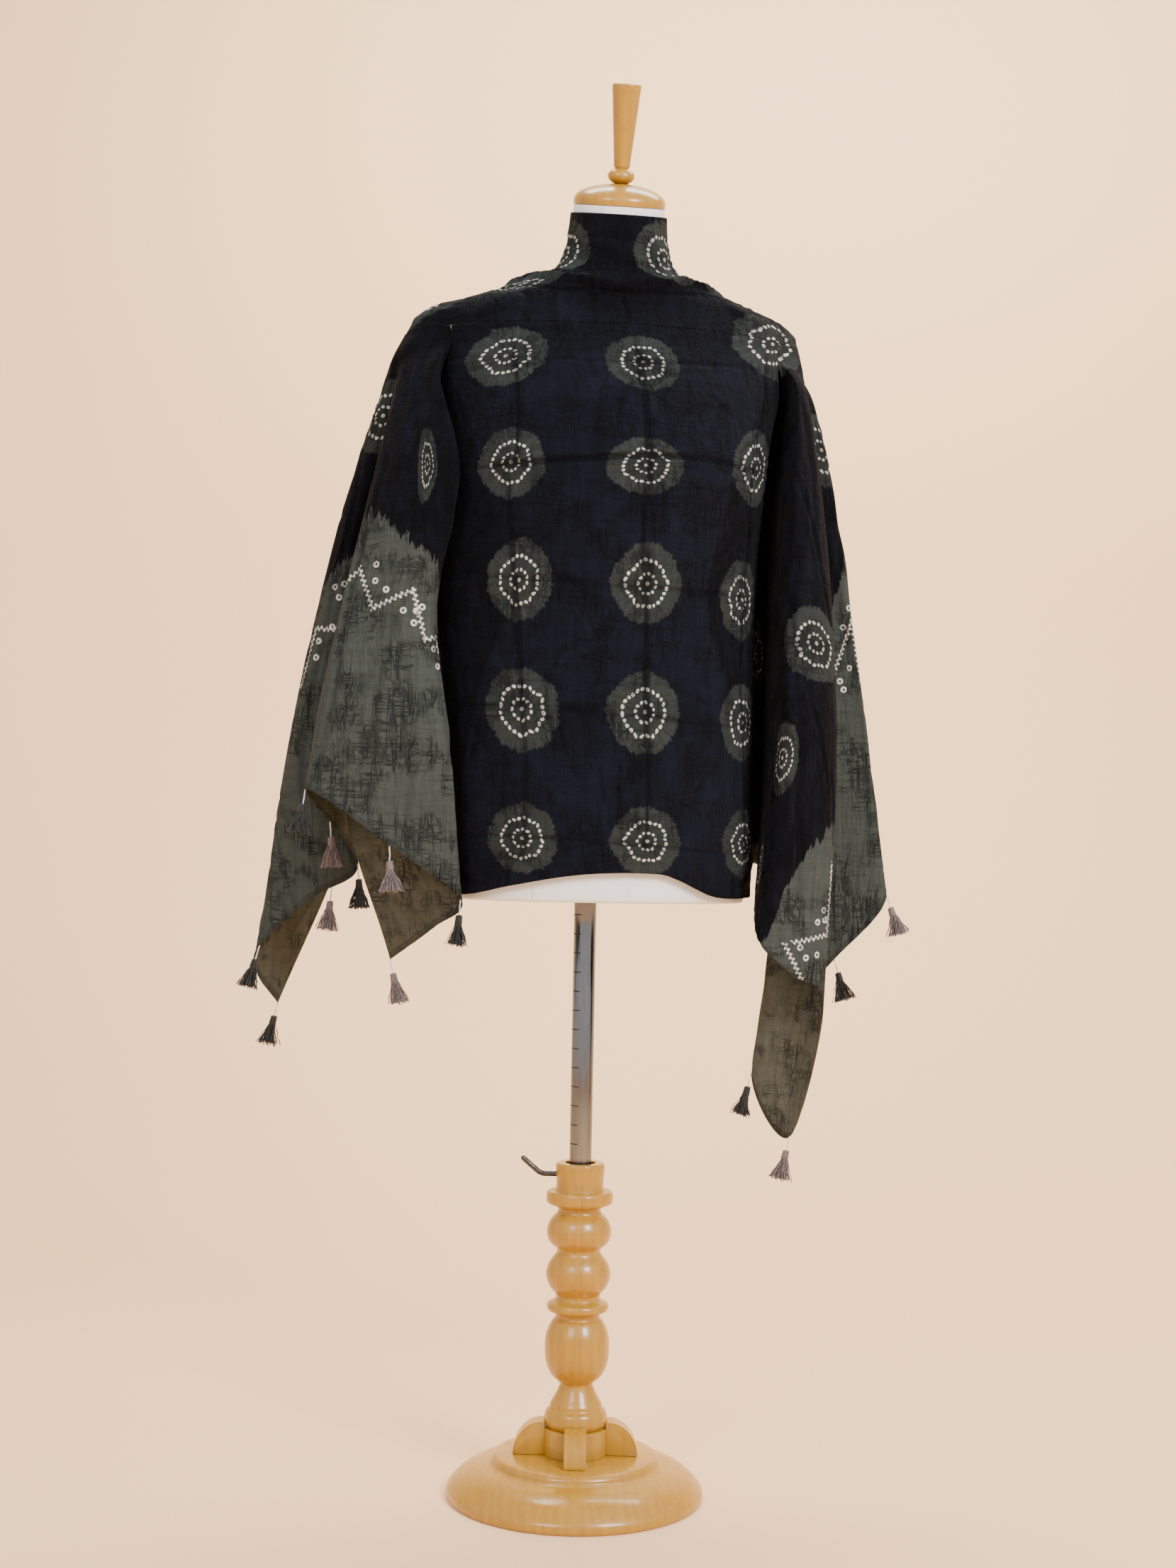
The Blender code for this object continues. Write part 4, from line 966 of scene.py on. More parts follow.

# The folds given one by one, besides the small seeded ones. A ridge has a negative depth.
FRONT_CREASES = (
    Crease(3.0, 0.384, 22, 0.374, 0.0024, 0.0030),
    Crease(0, 0.163, 26, 0.150, 0.0008, 0.0030),
    Crease(1, 0.566, 25, 0.572, 0.0010, 0.0030),
    Crease(2, 0.470, 18, 0.480, 0.0006, 0.0030),
    Crease(0, 0.737, 26, 0.741, 0.0010, 0.0030),
    Crease(0, 0.917, 26, 0.920, 0.0010, 0.0030),
    Crease(5.6, 0.08, 7.0, 0.42, 0.0017, 0.0026),
    Crease(6.9, 0.38, 7.5, 0.70, 0.0018, 0.0026),
    Crease(7.3, 0.55, 7.5, 1.0, 0.0015, 0.0026),
    Crease(13.5, 0.0, 13.5, 0.45, 0.0022, 0.0026),
    Crease(13.8, 0.10, 13.8, 0.60, 0.0012, 0.0026),
    Crease(13.6, 0.40, 13.8, 0.80, 0.0018, 0.0026),
    Crease(13.8, 0.66, 13.9, 1.0, 0.0015, 0.0026),
    Crease(24.0, 0.04, 21.1, 0.34, 0.0014, 0.0028),
    Crease(21.0, 0.30, 20.8, 0.70, 0.0017, 0.0028),
    Crease(20.8, 0.60, 21.3, 1.0, 0.0014, 0.0028),
)
NECK_CREASES = (
    Crease(9, 0.16, 16, 0.34, -0.0014, 0.0060),
    Crease(14, 0.30, 22, 0.20, -0.0012, 0.0060),
    Crease(3, 0.12, 28, 0.14, 0.0006, 0.0034),
    Crease(13.4, 0.66, 13.6, 1.0, 0.0014, 0.0028),
    Crease(6, 0.66, 4, 0.98, 0.0012, 0.0040),
    Crease(8, 0.66, 6, 0.98, -0.0020, 0.0060),
    Crease(21, 0.66, 24, 0.98, 0.0012, 0.0040),
    Crease(19, 0.66, 21, 0.98, -0.0016, 0.0060),
    Crease(25, 0.40, 28, 0.98, 0.0012, 0.0050),
)
LEFT_CREASES = (
    Crease(6.2, 0.42, 6.0, 0.96, 0.0016, 0.0040),
    Crease(7.4, 0.30, 7.0, 0.92, 0.0014, 0.0038),
    Crease(3.6, 0.46, 3.9, 0.98, 0.0020, 0.0040),
    Crease(3.2, 0.62, 2.7, 0.98, 0.0014, 0.0036),
    Crease(2.6, 0.60, 3.5, 0.99, 0.0018, 0.0038),
    Crease(2.3, 0.56, 2.2, 0.90, 0.0012, 0.0036),
    Crease(1.6, 0.40, 1.4, 0.96, 0.0012, 0.0036),
    Crease(0.5, 0.30, 0.8, 0.96, 0.0012, 0.0036),
    Crease(5.4, 0.08, 5.8, 0.60, 0.0012, 0.0040),
    Crease(3.0, 0.06, 3.4, 0.44, -0.0014, 0.0050),
    Crease(2.4, 0.74, 3.3, 0.73, 0.0010, 0.0034),
    Crease(5.6, 0.88, 7.2, 0.84, 0.0010, 0.0034),
)
RIGHT_CREASES = (
    Crease(8.0, 0.40, 8.3, 0.96, 0.0016, 0.0044),
    Crease(8.7, 0.46, 8.5, 0.98, 0.0014, 0.0044),
    Crease(7.6, 0.50, 8.4, 0.90, 0.0012, 0.0044),
    Crease(3.0, 0.10, 3.2, 0.60, 0.0014, 0.0044),
    Crease(3.6, 0.40, 3.3, 0.98, 0.0016, 0.0044),
    Crease(4.6, 0.70, 5.2, 0.98, 0.0016, 0.0044),
    Crease(5.0, 0.50, 4.8, 0.94, 0.0012, 0.0044),
    Crease(4.2, 0.86, 5.6, 0.90, 0.0010, 0.0044),
    Crease(6.6, 0.60, 5.6, 0.98, 0.0014, 0.0044),
    Crease(11.0, 0.20, 11.3, 0.96, 0.0014, 0.0050),
    Crease(12.2, 0.20, 12.0, 0.96, 0.0014, 0.0050),
    Crease(10.4, 0.46, 12.6, 0.49, 0.0010, 0.0050),
)

# How each tassel hangs, from the first of its end: its line on the fall, its lean to the right and
# to the back in degrees, its spread and whether its thread is dark.
Hang = namedtuple("Hang", "line right back spread dark")
LEFT_TASSELS = (
    Hang(9.0, -14, 4, 122, True),
    Hang(7.0, -16, 0, 136, True),
    Hang(5.65, -6, 3, 140, False),
    Hang(5.0, 5, -4, 120, True),
    Hang(4.5, 4, 6, 128, False),
    Hang(4.0, -8, -5, 134, True),
    Hang(3.0, 3, -4, 140, False),
    Hang(2.0, -4, -6, 130, True),
    Hang(0.0, 12, 2, 100, False),
)
RIGHT_TASSELS = (
    Hang(5.0, -12, 0, 132, False),
    Hang(6.0, -13, 3, 118, True),
    Hang(7.0, 4, 4, 128, False),
    Hang(8.0, 16, -3, 140, True),
    Hang(9.0, 18, -2, 134, False),
    Hang(10.0, 6, 8, 120, True),
    Hang(11.0, 3, 9, 126, False),
    Hang(12.0, -4, 8, 132, True),
    Hang(13.0, -8, 6, 122, False),
)


# One hanging end of the stole, with the places of what is on it and what its cloth measures flat.
End = namedtuple(
    "End", "fall facing columns rows patches creases zigzag bays dye tassels flat area seed"
)
ENDS = {
    "left": End(
        LEFT_FALL, -1, 236, 188, LEFT_PATCHES, LEFT_CREASES, LEFT_ZIGZAG, LEFT_BAYS, LEFT_DYE, LEFT_TASSELS,
        flat=(0.75, 0.80), area=0.283, seed=11,
    ),
    "right": End(
        RIGHT_FALL, 1, 268, 172, RIGHT_PATCHES, RIGHT_CREASES, RIGHT_ZIGZAG, RIGHT_BAYS, RIGHT_DYE,
        RIGHT_TASSELS, flat=(1.22, 0.90), area=0.402, seed=17,
    ),
}


def end_cloth(end):
    """A hanging end's grid, and each point's distance from the end hem."""
    cloth = Cloth([fall_line(line) for line in end.fall], end.columns, end.rows, end.facing)
    foot = np.interp(cloth.columns, range(len(end.fall)), [line.end for line in end.fall])
    return cloth, cloth.y[-1:, :] - cloth.y + foot


def build_neck(settings):
    """The high collar and both shoulders."""
    heights = (*YOKE_HEIGHTS, YOKE_EDGE + SEAM)
    lines = []
    for j in range(YOKE_COLUMNS + 1):
        lines.append([])
        for z in heights:
            share = (YOKE_TOP - z) / (YOKE_TOP - YOKE_EDGE)
            left = YOKE_LEFT + (LEFT_FALL[-1].angle - YOKE_LEFT) * share
            right = YOKE_RIGHT + (RIGHT_FALL[-1].angle - YOKE_RIGHT) * share
            lines[-1].append(tuple(yoke_point(left + (right - left) * j / YOKE_COLUMNS, z)))
    cloth = Cloth(lines, columns=310, rows=86)
    # Painted light from the white form through the cloth, rising to 0.4 on the yoke's lower rows.
    cloth.backing += np.clip((cloth.rows[:, None] - 0.62) * 1.2, 0, 0.4)
    cloth.add_patches(NECK_PATCHES, settings.patch)
    cloth.add_creases(NECK_CREASES)
    cloth.add_band(row=0.52, depth=-0.0070, width=0.0085)
    cloth.add_band(row=0.635, depth=0.0030, width=0.0032)
    cloth.add_crinkles(seed=3, number=150, lean=90, spread=40)
    cloth.settle(top=0.004, bottom=0.014, sides=0.008)
    cloth.build("stole_neck_cloth", settings, "stole_neck", flat=(0.45, 0.17))


def build_front(settings):
    """The front panel, from the yoke's edge to its hem, paler with painted light where the white form lies
    behind it.
    """
    panel = [panel_line(j / FRONT_COLUMNS) for j in range(FRONT_COLUMNS + 1)]
    cloth = Cloth(panel, columns=156, rows=206)
    # Painted light through the cloth: full over the form's width, weaker near the top, and gone beyond the
    # form's sides.
    for i, row in enumerate(cloth.grid):
        section = table_at(FORM_SECTIONS, "z", row[:, 2].mean())
        reach = math.hypot(section.half_width * SIDE.x, section.front * SIDE.y) - 0.006
        aside = np.abs(row[:, 0] - FORM_CENTRE.x)
        nearer = min(0.40 + 1.8 * cloth.rows[i], 1.0)
        cloth.backing[i] = np.clip((reach - aside) / 0.004, 0, 1) * nearer
    cloth.add_patches(FRONT_PATCHES, settings.patch)
    cloth.add_creases(FRONT_CREASES)
    cloth.add_crinkles(seed=5, number=260, lean=88, spread=30)
    cloth.add_crinkles(seed=23, number=110, lean=2, spread=16)
    cloth.settle(top=0.014, bottom=0.0, sides=0.006, low=HANGING_LOW)
    cloth.build("stole_front_cloth", settings, "stole_front", flat=(0.46, 0.62))


def build_end(side, settings):
    """One hanging end: grey along its hem, with a zigzag of dots."""
    end = ENDS[side]
    cloth, from_end = end_cloth(end)
    across = np.tile(cloth.columns / cloth.columns[-1] * STOLE_WIDTH, (len(cloth.rows), 1))
    cloth.maps["fabric"] = (from_end, across, cloth.plain)
    cloth.maps["dye"] = (from_end + np.interp(cloth.columns, *zip(*end.dye)), across, cloth.plain)
    cloth.add_patches(end.patches, settings.patch)
    cloth.add_zigzag(from_end, end.zigzag)
    cloth.add_bays(from_end, end.bays)
    cloth.add_creases(end.creases)
    cloth.add_crinkles(end.seed, number=320, lean=90, spread=22)
    long_folds = {"reach": (0.10, 0.30), "depth": (0.0006, 0.0014)}
    cloth.add_crinkles(end.seed + 1, number=60, lean=92, spread=7, **long_folds)
    cloth.settle(top=0.014, bottom=0.0, sides=0.006, low=HANGING_LOW)
    cloth.lift += HEM_RISE * (from_end < settings.end_hem)
    cloth.build(f"stole_{side}_cloth", settings, f"stole_{side}", end.flat, end.area)


# What repeats, made with Geometry Nodes


class Repeat(Builder):
    """A Geometry Nodes tree with named inputs."""

    def __init__(self, name, **sockets):
        tree = bpy.data.node_groups.new(name, "GeometryNodeTree")
        for label, kind in sockets.items():
            tree.interface.new_socket(label, in_out="INPUT", socket_type="NodeSocket" + kind)
        tree.interface.new_socket("Geometry", in_out="OUTPUT", socket_type="NodeSocketGeometry")
        super().__init__(tree, "GeometryNode")
        self.given = tree.nodes.new("NodeGroupInput").outputs

    def random(self, low, high, kind="FLOAT"):
        """A seeded draw for each point or instance, a number or a vector."""
        first, output = (2, 1) if kind == "FLOAT" else (0, 0)
        inputs = {first: low, first + 1: high, "Seed": self.given["Seed"]}
        return self.node("RandomValue", inputs, output, prefix="FunctionNode", data_type=kind)

    def realize(self, geometry):
        return self.node("RealizeInstances", {0: geometry})

    def painted(self, geometry, material):
        return self.node("SetMaterial", {"Geometry": geometry, "Material": material})

    def join(self, *parts):
        made = self.tree.nodes.new("GeometryNodeJoinGeometry")
        for part in parts:
            self.tree.links.new(part, made.inputs[0])
        return made.outputs[0]

    def finish(self, geometry):
        end = self.tree.nodes.new("NodeGroupOutput")
        self.tree.links.new(geometry, end.inputs[0])
        return self

    def make(self, base, values):
        """Runs the tree on a mesh, and gives the result as a plain mesh."""
        owner = bpy.data.objects.new("maker", base)
        bpy.context.scene.collection.objects.link(owner)
        modifier = owner.modifiers.new("maker", "NODES")
        modifier.node_group = self.tree
        for item in self.tree.interface.items_tree:
            if item.in_out == "INPUT" and item.name in values:
                modifier[item.identifier] = values[item.name]
        bpy.context.view_layer.update()
        ready = owner.evaluated_get(bpy.context.evaluated_depsgraph_get())
        mesh = bpy.data.meshes.new_from_object(ready)
        bpy.data.objects.remove(owner)
        return mesh


def tassel_tree():
    """A string, a head bound with thread, and a skirt of loose threads, hanging from the origin."""
    tree = Repeat(
        "tassel", String="Float", Head="Float", Skirt="Float", Radius="Float", Threads="Int",
        Spread="Float", Seed="Int", Cord="Material", Thread="Material",
    )
    given = tree.given

    def tube(curve, sides, scale=1.0):
        ring = {"Resolution": sides, "Radius": tree.times(given["Radius"], scale)}
        ring = tree.node("CurvePrimitiveCircle", ring)
        return tree.node("CurveToMesh", {"Curve": curve, "Profile Curve": ring, "Fill Caps": True})

    def hanging(length, points):
        """A line down from the origin."""
        line = tree.node("CurvePrimitiveLine", {"Start": (0.0, 0.0, 0.0), "End": tree.point(z=length)})
        return tree.node("ResampleCurve", {"Curve": line, "Count": points})

    def wavy(curve, amount, fine):
        inputs = {"Vector": tree.node("InputPosition"), "W": given["Seed"], "Scale": fine, "Detail": 1.0}
        noise = tree.node("TexNoise", inputs, 1, prefix="ShaderNode", noise_dimensions="4D")
        off = tree.vector("SCALE", tree.vector("SUBTRACT", noise, (0.5, 0.5, 0.5)), scale=amount)
        return tree.node("SetPosition", {"Geometry": curve, "Offset": off})

    knot = tree.times(given["String"], -1.0)
    waist = tree.less(knot, given["Head"])
    cord = tube(wavy(hanging(knot, 12), 0.0016, 160.0), 6, 1.7)
    cord = tree.painted(tree.realize(cord), given["Cord"])
    spiral = {"Resolution": 18, "Rotations": 9.0, "Start Radius": 0.0037, "End Radius": 0.0030}
    wrap = tree.node("CurveSpiral", spiral | {"Height": given["Head"]})
    wrap = tube(tree.node("Transform", {"Geometry": wrap, "Translation": tree.point(z=waist)}), 5, 1.5)
    core = tree.node("Transform", {
        "Geometry": tree.node("MeshUVSphere", {"Segments": 16, "Rings": 10, "Radius": 1.0}),
        "Translation": tree.point(z=tree.math("MULTIPLY_ADD", given["Head"], 0.5, waist)),
        "Scale": tree.point(0.0038, 0.0038, tree.times(given["Head"], 0.60)),
    })
    strand = tube(hanging(tree.times(given["Skirt"], -1.0), 9), 4)
    roots = tree.node("MeshCircle", {"Vertices": given["Threads"], "Radius": 0.0030})
    spot = tree.vector("SCALE", tree.node("InputPosition"), scale=tree.random(0.30, 1.15))
    spot = tree.vector("ADD", spot, tree.point(z=tree.add(waist, 0.0012)))
    roots = tree.node("SetPosition", {"Geometry": roots, "Position": spot})
    x, y, _ = tree.split(tree.node("InputPosition"))
    lean = tree.point(tree.times(y, given["Spread"]), tree.times(x, tree.times(given["Spread"], -1.0)))
    stray = tree.random((-0.10, -0.10, -3.1), (0.10, 0.10, 3.1), "FLOAT_VECTOR")
    skirt = tree.node("InstanceOnPoints", {
        "Points": roots, "Instance": strand, "Rotation": tree.vector("ADD", lean, stray),
        "Scale": tree.point(1.0, 1.0, tree.random(0.86, 1.06)),
    })
    skirt = wavy(tree.realize(skirt), 0.0052, 95.0)
    threads = tree.painted(tree.realize(tree.join(wrap, core, skirt)), given["Thread"])
    return tree.finish(tree.join(cord, threads))


def hem_point(cloth, line):
    """A point of the hem's edge at a place along the fall's lines."""
    j = np.interp(line, cloth.columns, np.arange(len(cloth.columns)))
    low = min(int(j), len(cloth.columns) - 2)
    hem = cloth.grid[-1]
    return Vector(hem[low] + (hem[low + 1] - hem[low]) * (j - low))


def build_tassels(settings):
    tree = tassel_tree()
    cord = finish_of("white_string", twisted_thread, settings.cord)
    dark = finish_of("black_skein", twisted_thread, settings.black)
    pale = finish_of("mauve_skein", twisted_thread, settings.mauve)
    for side, end in ENDS.items():
        cloth, _ = end_cloth(end)
        for index, hang in enumerate(end.tassels):
            node = f"tassel_{side}_{index + 1}"
            mesh = tree.make(bpy.data.meshes.new("hook"), {
                "String": settings.string, "Head": settings.head, "Skirt": settings.skirt,
                "Radius": settings.thread, "Threads": settings.threads, "Spread": float(hang.spread),
                "Seed": index * 7 + len(node), "Cord": cord, "Thread": dark if hang.dark else pale,
            })
            hook = hem_point(cloth, hang.line) + Vector((0.0, 0.0, HOOK_RISE))
            right = Matrix.Rotation(math.radians(-hang.right), 4, "Y")
            back = Matrix.Rotation(math.radians(hang.back), 4, "X")
            mesh.transform(Matrix.Translation(hook) @ right @ back)
            mesh.shade_smooth()
            show(node + "_threads", mesh, "form", "tassel_dark" if hang.dark else "tassel_mauve", node)


def stitch_tree():
    """Small stitches along a line of points."""
    tree = Repeat(
        "hem_stitches", Geometry="Geometry", Gap="Float", Length="Float", Radius="Float", Thread="Material"
    )
    given = tree.given
    line = tree.node("MeshToCurve", {0: given["Geometry"]})
    line = tree.node("ResampleCurve", {"Curve": line, "Length": given["Gap"]}, mode="LENGTH")
    stitch = tree.node("MeshUVSphere", {"Segments": 6, "Rings": 5, "Radius": 1.0})
    shape = tree.point(given["Length"], given["Radius"], given["Radius"])
    stitch = tree.node("Transform", {"Geometry": stitch, "Scale": shape})
    tangent = {"Vector": tree.node("InputTangent")}
    turn = tree.node("AlignRotationToVector", tangent, prefix="FunctionNode", axis="X")
    row = tree.node("InstanceOnPoints", {"Points": line, "Instance": stitch, "Rotation": turn})
    return tree.finish(tree.painted(tree.realize(row), given["Thread"]))


def build_stitches(cloth_settings, settings):
    """One row of stitches on the outside of each end hem."""
    tree = stitch_tree()
    thread = finish_of("hem_thread", twisted_thread, settings.black)
    for side, end in ENDS.items():
        cloth, from_end = end_cloth(end)
        first = min(i for i, line in enumerate(end.fall) if line.end == 0)
        points = []
        for j in np.flatnonzero(cloth.columns >= first)[::2]:
            i = int(np.abs(from_end[:, j] - cloth_settings.end_hem * 0.9).argmin())
            points.append(cloth.grid[i, j] + cloth.out[i, j] * (cloth_settings.wall / 2 + STITCH_RISE))
        path = bpy.data.meshes.new("stitch_line")
        path.from_pydata(points, [(i, i + 1) for i in range(len(points) - 1)], [])
        mesh = tree.make(path, {
            "Gap": cloth_settings.stitch_gap, "Length": STITCH_LENGTH, "Radius": STITCH_RADIUS,
            "Thread": thread,
        })
        mesh.shade_smooth()
        show("hem_stitches_" + side, mesh, "form", "stole_cotton")


# Turned wood, form and metal

LATHE_SIDES = 96
LEVER_SIDES = 28
LEVER_BEND = 0.006
WING_EASING = 0.0008
FORM_SIDES = 144
FORM_ROWS = 95
FORM_SEAMS = (0, 37.5, 90, 142.5, 180, 217.5, 270, 322.5, 360)
# How the form's lower edge rounds in: heights over the bottom, and how far the surface is let in.
EDGE_ROUNDING = ((0.0, -0.0042), (0.0010, -0.0016), (0.0036, -0.0002))
EDGE_FLOOR = 0.0031
CAP_EDGE = 0.0055
BALL_CUT = 60

BASE_PROFILE = (
    Turn(0.1415, 0.0000), Turn(0.1440, 0.0025), Turn(0.1440, 0.0095), Turn(0.1395, 0.0160),
    Turn(0.1280, 0.0265), Turn(0.1120, 0.0345), Turn(0.0950, 0.0395), Turn(0.0935, 0.0435),
    Turn(0.0905, 0.0470), Turn(0.0870, 0.0480),
)
BALUSTER_PROFILE = (
    Turn(0.0320, 0.0783), Turn(0.0350, 0.0825), Turn(0.0355, 0.0885), Turn(0.0335, 0.0960),
    Turn(0.0295, 0.1005), Turn(0.0290, 0.1040), Turn(0.0240, 0.1130), Turn(0.0195, 0.1230),
    Turn(0.0190, 0.1270), Turn(0.0290, 0.1370), Turn(0.0350, 0.1510), Turn(0.0365, 0.1670),
    Turn(0.0350, 0.1830), Turn(0.0290, 0.1965), Turn(0.0250, 0.2015), Turn(0.0255, 0.2060),
    Turn(0.0335, 0.2095), Turn(0.0350, 0.2136), Turn(0.0335, 0.2175), Turn(0.0255, 0.2215),
    Turn(0.0250, 0.2265), Turn(0.0330, 0.2370), Turn(0.0365, 0.2500), Turn(0.0330, 0.2630),
    Turn(0.0250, 0.2740), Turn(0.0250, 0.2780), Turn(0.0335, 0.2865), Turn(0.0365, 0.2980),
    Turn(0.0325, 0.3110), Turn(0.0245, 0.3200), Turn(0.0245, 0.3245), Turn(0.0340, 0.3288),
    Turn(0.0370, 0.3310), Turn(0.0370, 0.3415), Turn(0.0350, 0.3437), Turn(0.0277, 0.3437),
    Turn(0.0275, SOCKET_TOP - 0.0015), Turn(0.0260, SOCKET_TOP),
)


def eased(profile, steps=5):
    """A turned profile with its corners eased, through the same points."""
    points = np.array([tuple(turn) for turn in profile])
    first = points[0] * 2 - points[1]
    last = points[-1] * 2 - points[-2]
    points = np.vstack([first, points, last])
    found = []
    for p0, p1, p2, p3 in zip(points, points[1:], points[2:], points[3:]):
        gaps = [math.sqrt(np.linalg.norm(b - a)) for a, b in ((p0, p1), (p1, p2), (p2, p3))]
        k1 = gaps[0]
        k2 = k1 + gaps[1]
        k3 = k2 + gaps[2]
        for t in np.linspace(k1, k2, steps, endpoint=False):
            a1 = p0 * (k1 - t) / k1 + p1 * t / k1
            a2 = p1 * (k2 - t) / (k2 - k1) + p2 * (t - k1) / (k2 - k1)
            a3 = p2 * (k3 - t) / (k3 - k2) + p3 * (t - k2) / (k3 - k2)
            b1 = a1 * (k2 - t) / k2 + a2 * t / k2
            b2 = a2 * (k3 - t) / (k3 - k1) + a3 * (t - k1) / (k3 - k1)
            found.append(Turn(*(b1 * (k2 - t) / (k2 - k1) + b2 * (t - k1) / (k2 - k1))))
    return tuple(found) + (profile[-1],)


def finished(name, bm, material, angle=38, place=None):
    """A bmesh as a mesh with outward faces, smooth but for its sharp edges."""
    bmesh.ops.recalc_face_normals(bm, faces=bm.faces)
    mesh = bpy.data.meshes.new(name)
    bm.to_mesh(mesh)
    bm.free()
    if place is not None:
        mesh.transform(place)
    mesh.shade_smooth()
    mesh.set_sharp_from_angle(angle=math.radians(angle))
    mesh.materials.append(material)
    return mesh


def loops_of(bm, loops, closed=False):
    """Faces between rings of points, with caps at the ends unless the rings close on themselves."""
    rings = [[bm.verts.new(point) for point in loop] for loop in loops]
    pairs = list(zip(rings, rings[1:]))
    if closed:
        pairs.append((rings[-1], rings[0]))
    for low, high in pairs:
        for i in range(len(low)):
            j = (i + 1) % len(low)
            bm.faces.new((low[i], low[j], high[j], high[i]))
    if not closed:
        bm.faces.new(rings[0])
        bm.faces.new(rings[-1])


def lathe(name, profile, material, closed=False, place=None):
    """A profile turned round the Z axis."""
    bm = bmesh.new()
    angles = [math.tau * i / LATHE_SIDES for i in range(LATHE_SIDES)]
    turns = [(math.cos(angle), math.sin(angle)) for angle in angles]
    loops = [[(turn.radius * c, turn.radius * s, turn.z) for c, s in turns] for turn in profile]
    loops_of(bm, loops, closed)
    return finished(name, bm, material, place=place)


def show_turned(node, profile, settings, body="pedestal", closed=False, place=None):
    """A turned wooden piece in place of one solid."""
    wood = finish_of("varnished_wood", varnished_wood, settings)
    show(node + "_wood", lathe(node + "_wood", profile, wood, closed, place), body, "wood", node)


def build_base(settings):
    """The round base, the block on it and the four brackets."""
    show_turned("base_disc", eased(BASE_PROFILE), settings)
    show_turned("foot_block", (
        Turn(BLOCK_RADIUS, PLATEAU_HEIGHT + FIT), Turn(BLOCK_RADIUS, BLOCK_TOP - 0.0016),
        Turn(BLOCK_RADIUS - 0.0005, BLOCK_TOP - 0.0005), Turn(BLOCK_RADIUS - 0.0016, BLOCK_TOP),
        Turn(BORE_RADIUS, BLOCK_TOP), Turn(BORE_RADIUS, BORE_FLOOR),
    ), settings)
    for name, turn in (("right", 0), ("back", 90), ("left", 180), ("front", 270)):
        build_wing("base_wing_" + name, math.radians(turn), settings)


def build_wing(name, turn, settings):
    """A quarter-round bracket with eased edges, its root let into the block's round side."""
    foot = PLATEAU_HEIGHT + FIT
    half = WING_THICKNESS / 2
    root = math.sqrt(BLOCK_RADIUS ** 2 - half ** 2) - FIT
    centre = BLOCK_RADIUS * 1.009 + FIT
    outline = [(root, foot), (WING_REACH, foot)]
    for i in range(1, 19):
        angle = math.radians(5 * i)
        reach = (WING_REACH - centre) * math.cos(angle)
        outline.append((centre + reach, foot + WING_HEIGHT * math.sin(angle)))
    outline.append((root, foot + WING_HEIGHT))
    bm = bmesh.new()
    loops_of(bm, [[(x, y, z) for x, z in outline] for y in (-half, half)])
    bmesh.ops.bevel(
        bm, geom=bm.edges[:], offset=WING_EASING, segments=2, profile=0.5, affect="EDGES", clamp_overlap=True
    )
    wood = finish_of("varnished_wood", varnished_wood, settings)
    mesh = finished(name + "_wood", bm, wood, place=Matrix.Rotation(turn, 4, "Z"))
    show(name + "_wood", mesh, "pedestal", "wood", name)


def build_baluster(settings):
    """The turned post, with the socket and the bore that the pole slides in."""
    mouth = SOCKET_TOP - MOUTH_DEPTH
    bore = (
        Turn(MOUTH_RADIUS, SOCKET_TOP), Turn(MOUTH_RADIUS, mouth),
        Turn(BORE_RADIUS, mouth - 0.002), Turn(BORE_RADIUS, BALUSTER_PROFILE[0].z),
    )
    show_turned("baluster", eased(BALUSTER_PROFILE) + bore, settings, closed=True)


def build_pole(settings):
    """The plated tube, with both ends rounded."""
    rounding = ((0.0012, 0.0), (0.0003, 0.0004), (0.0, 0.0012))
    profile = [Turn(POLE_RADIUS - cut, POLE_FOOT + rise) for cut, rise in rounding]
    profile += [Turn(POLE_RADIUS - cut, POLE_TOP - rise) for cut, rise in reversed(rounding)]
    steel = finish_of("plated_tube", plated_steel, settings)
    show("pole_steel", lathe("pole_steel", profile, steel), "mast", "chrome", "pole")


def build_lever(settings):
    """The bent rod, with a round bend and a round tip."""
    across = Vector((0.0, 1.0, 0.0))
    start = Vector((-POLE_RADIUS - FIT, 0.0, LEVER_HEIGHT))
    elbow = Vector((LEVER_ELBOW, 0.0, LEVER_HEIGHT))
    tip = Vector((LEVER_TIP[0], 0.0, LEVER_TIP[1]))
    rise = (tip - elbow).normalized()
    before = elbow + Vector((LEVER_BEND, 0.0, 0.0))
    after = elbow + rise * LEVER_BEND
    path = [(start, LEVER_RADIUS * 0.8), (start - Vector((0.0005, 0.0, 0.0)), LEVER_RADIUS)]
    for step in range(9):
        t = step / 8
        path.append((before * (1 - t) ** 2 + elbow * 2 * t * (1 - t) + after * t * t, LEVER_RADIUS))
    for step in range(7):
        angle = math.radians(15 * step)
        back = LEVER_RADIUS * (1 - math.sin(angle))
        path.append((tip - rise * back, max(LEVER_RADIUS * math.cos(angle), 0.0002)))
    loops = []
    for i, (spot, radius) in enumerate(path):
        ahead = (path[min(i + 1, len(path) - 1)][0] - path[max(i - 1, 0)][0]).normalized()
        up = ahead.cross(across)
        loops.append([])
        for k in range(LEVER_SIDES):
            turn = math.tau * k / LEVER_SIDES
            loops[-1].append(spot + across * radius * math.cos(turn) + up * radius * math.sin(turn))
    bm = bmesh.new()
    loops_of(bm, loops)
    mesh = finished("clamp_lever_steel", bm, finish_of("bent_rod", worn_rod, settings))
    show("clamp_lever_steel", mesh, "lever", "lever_steel", "clamp_lever")


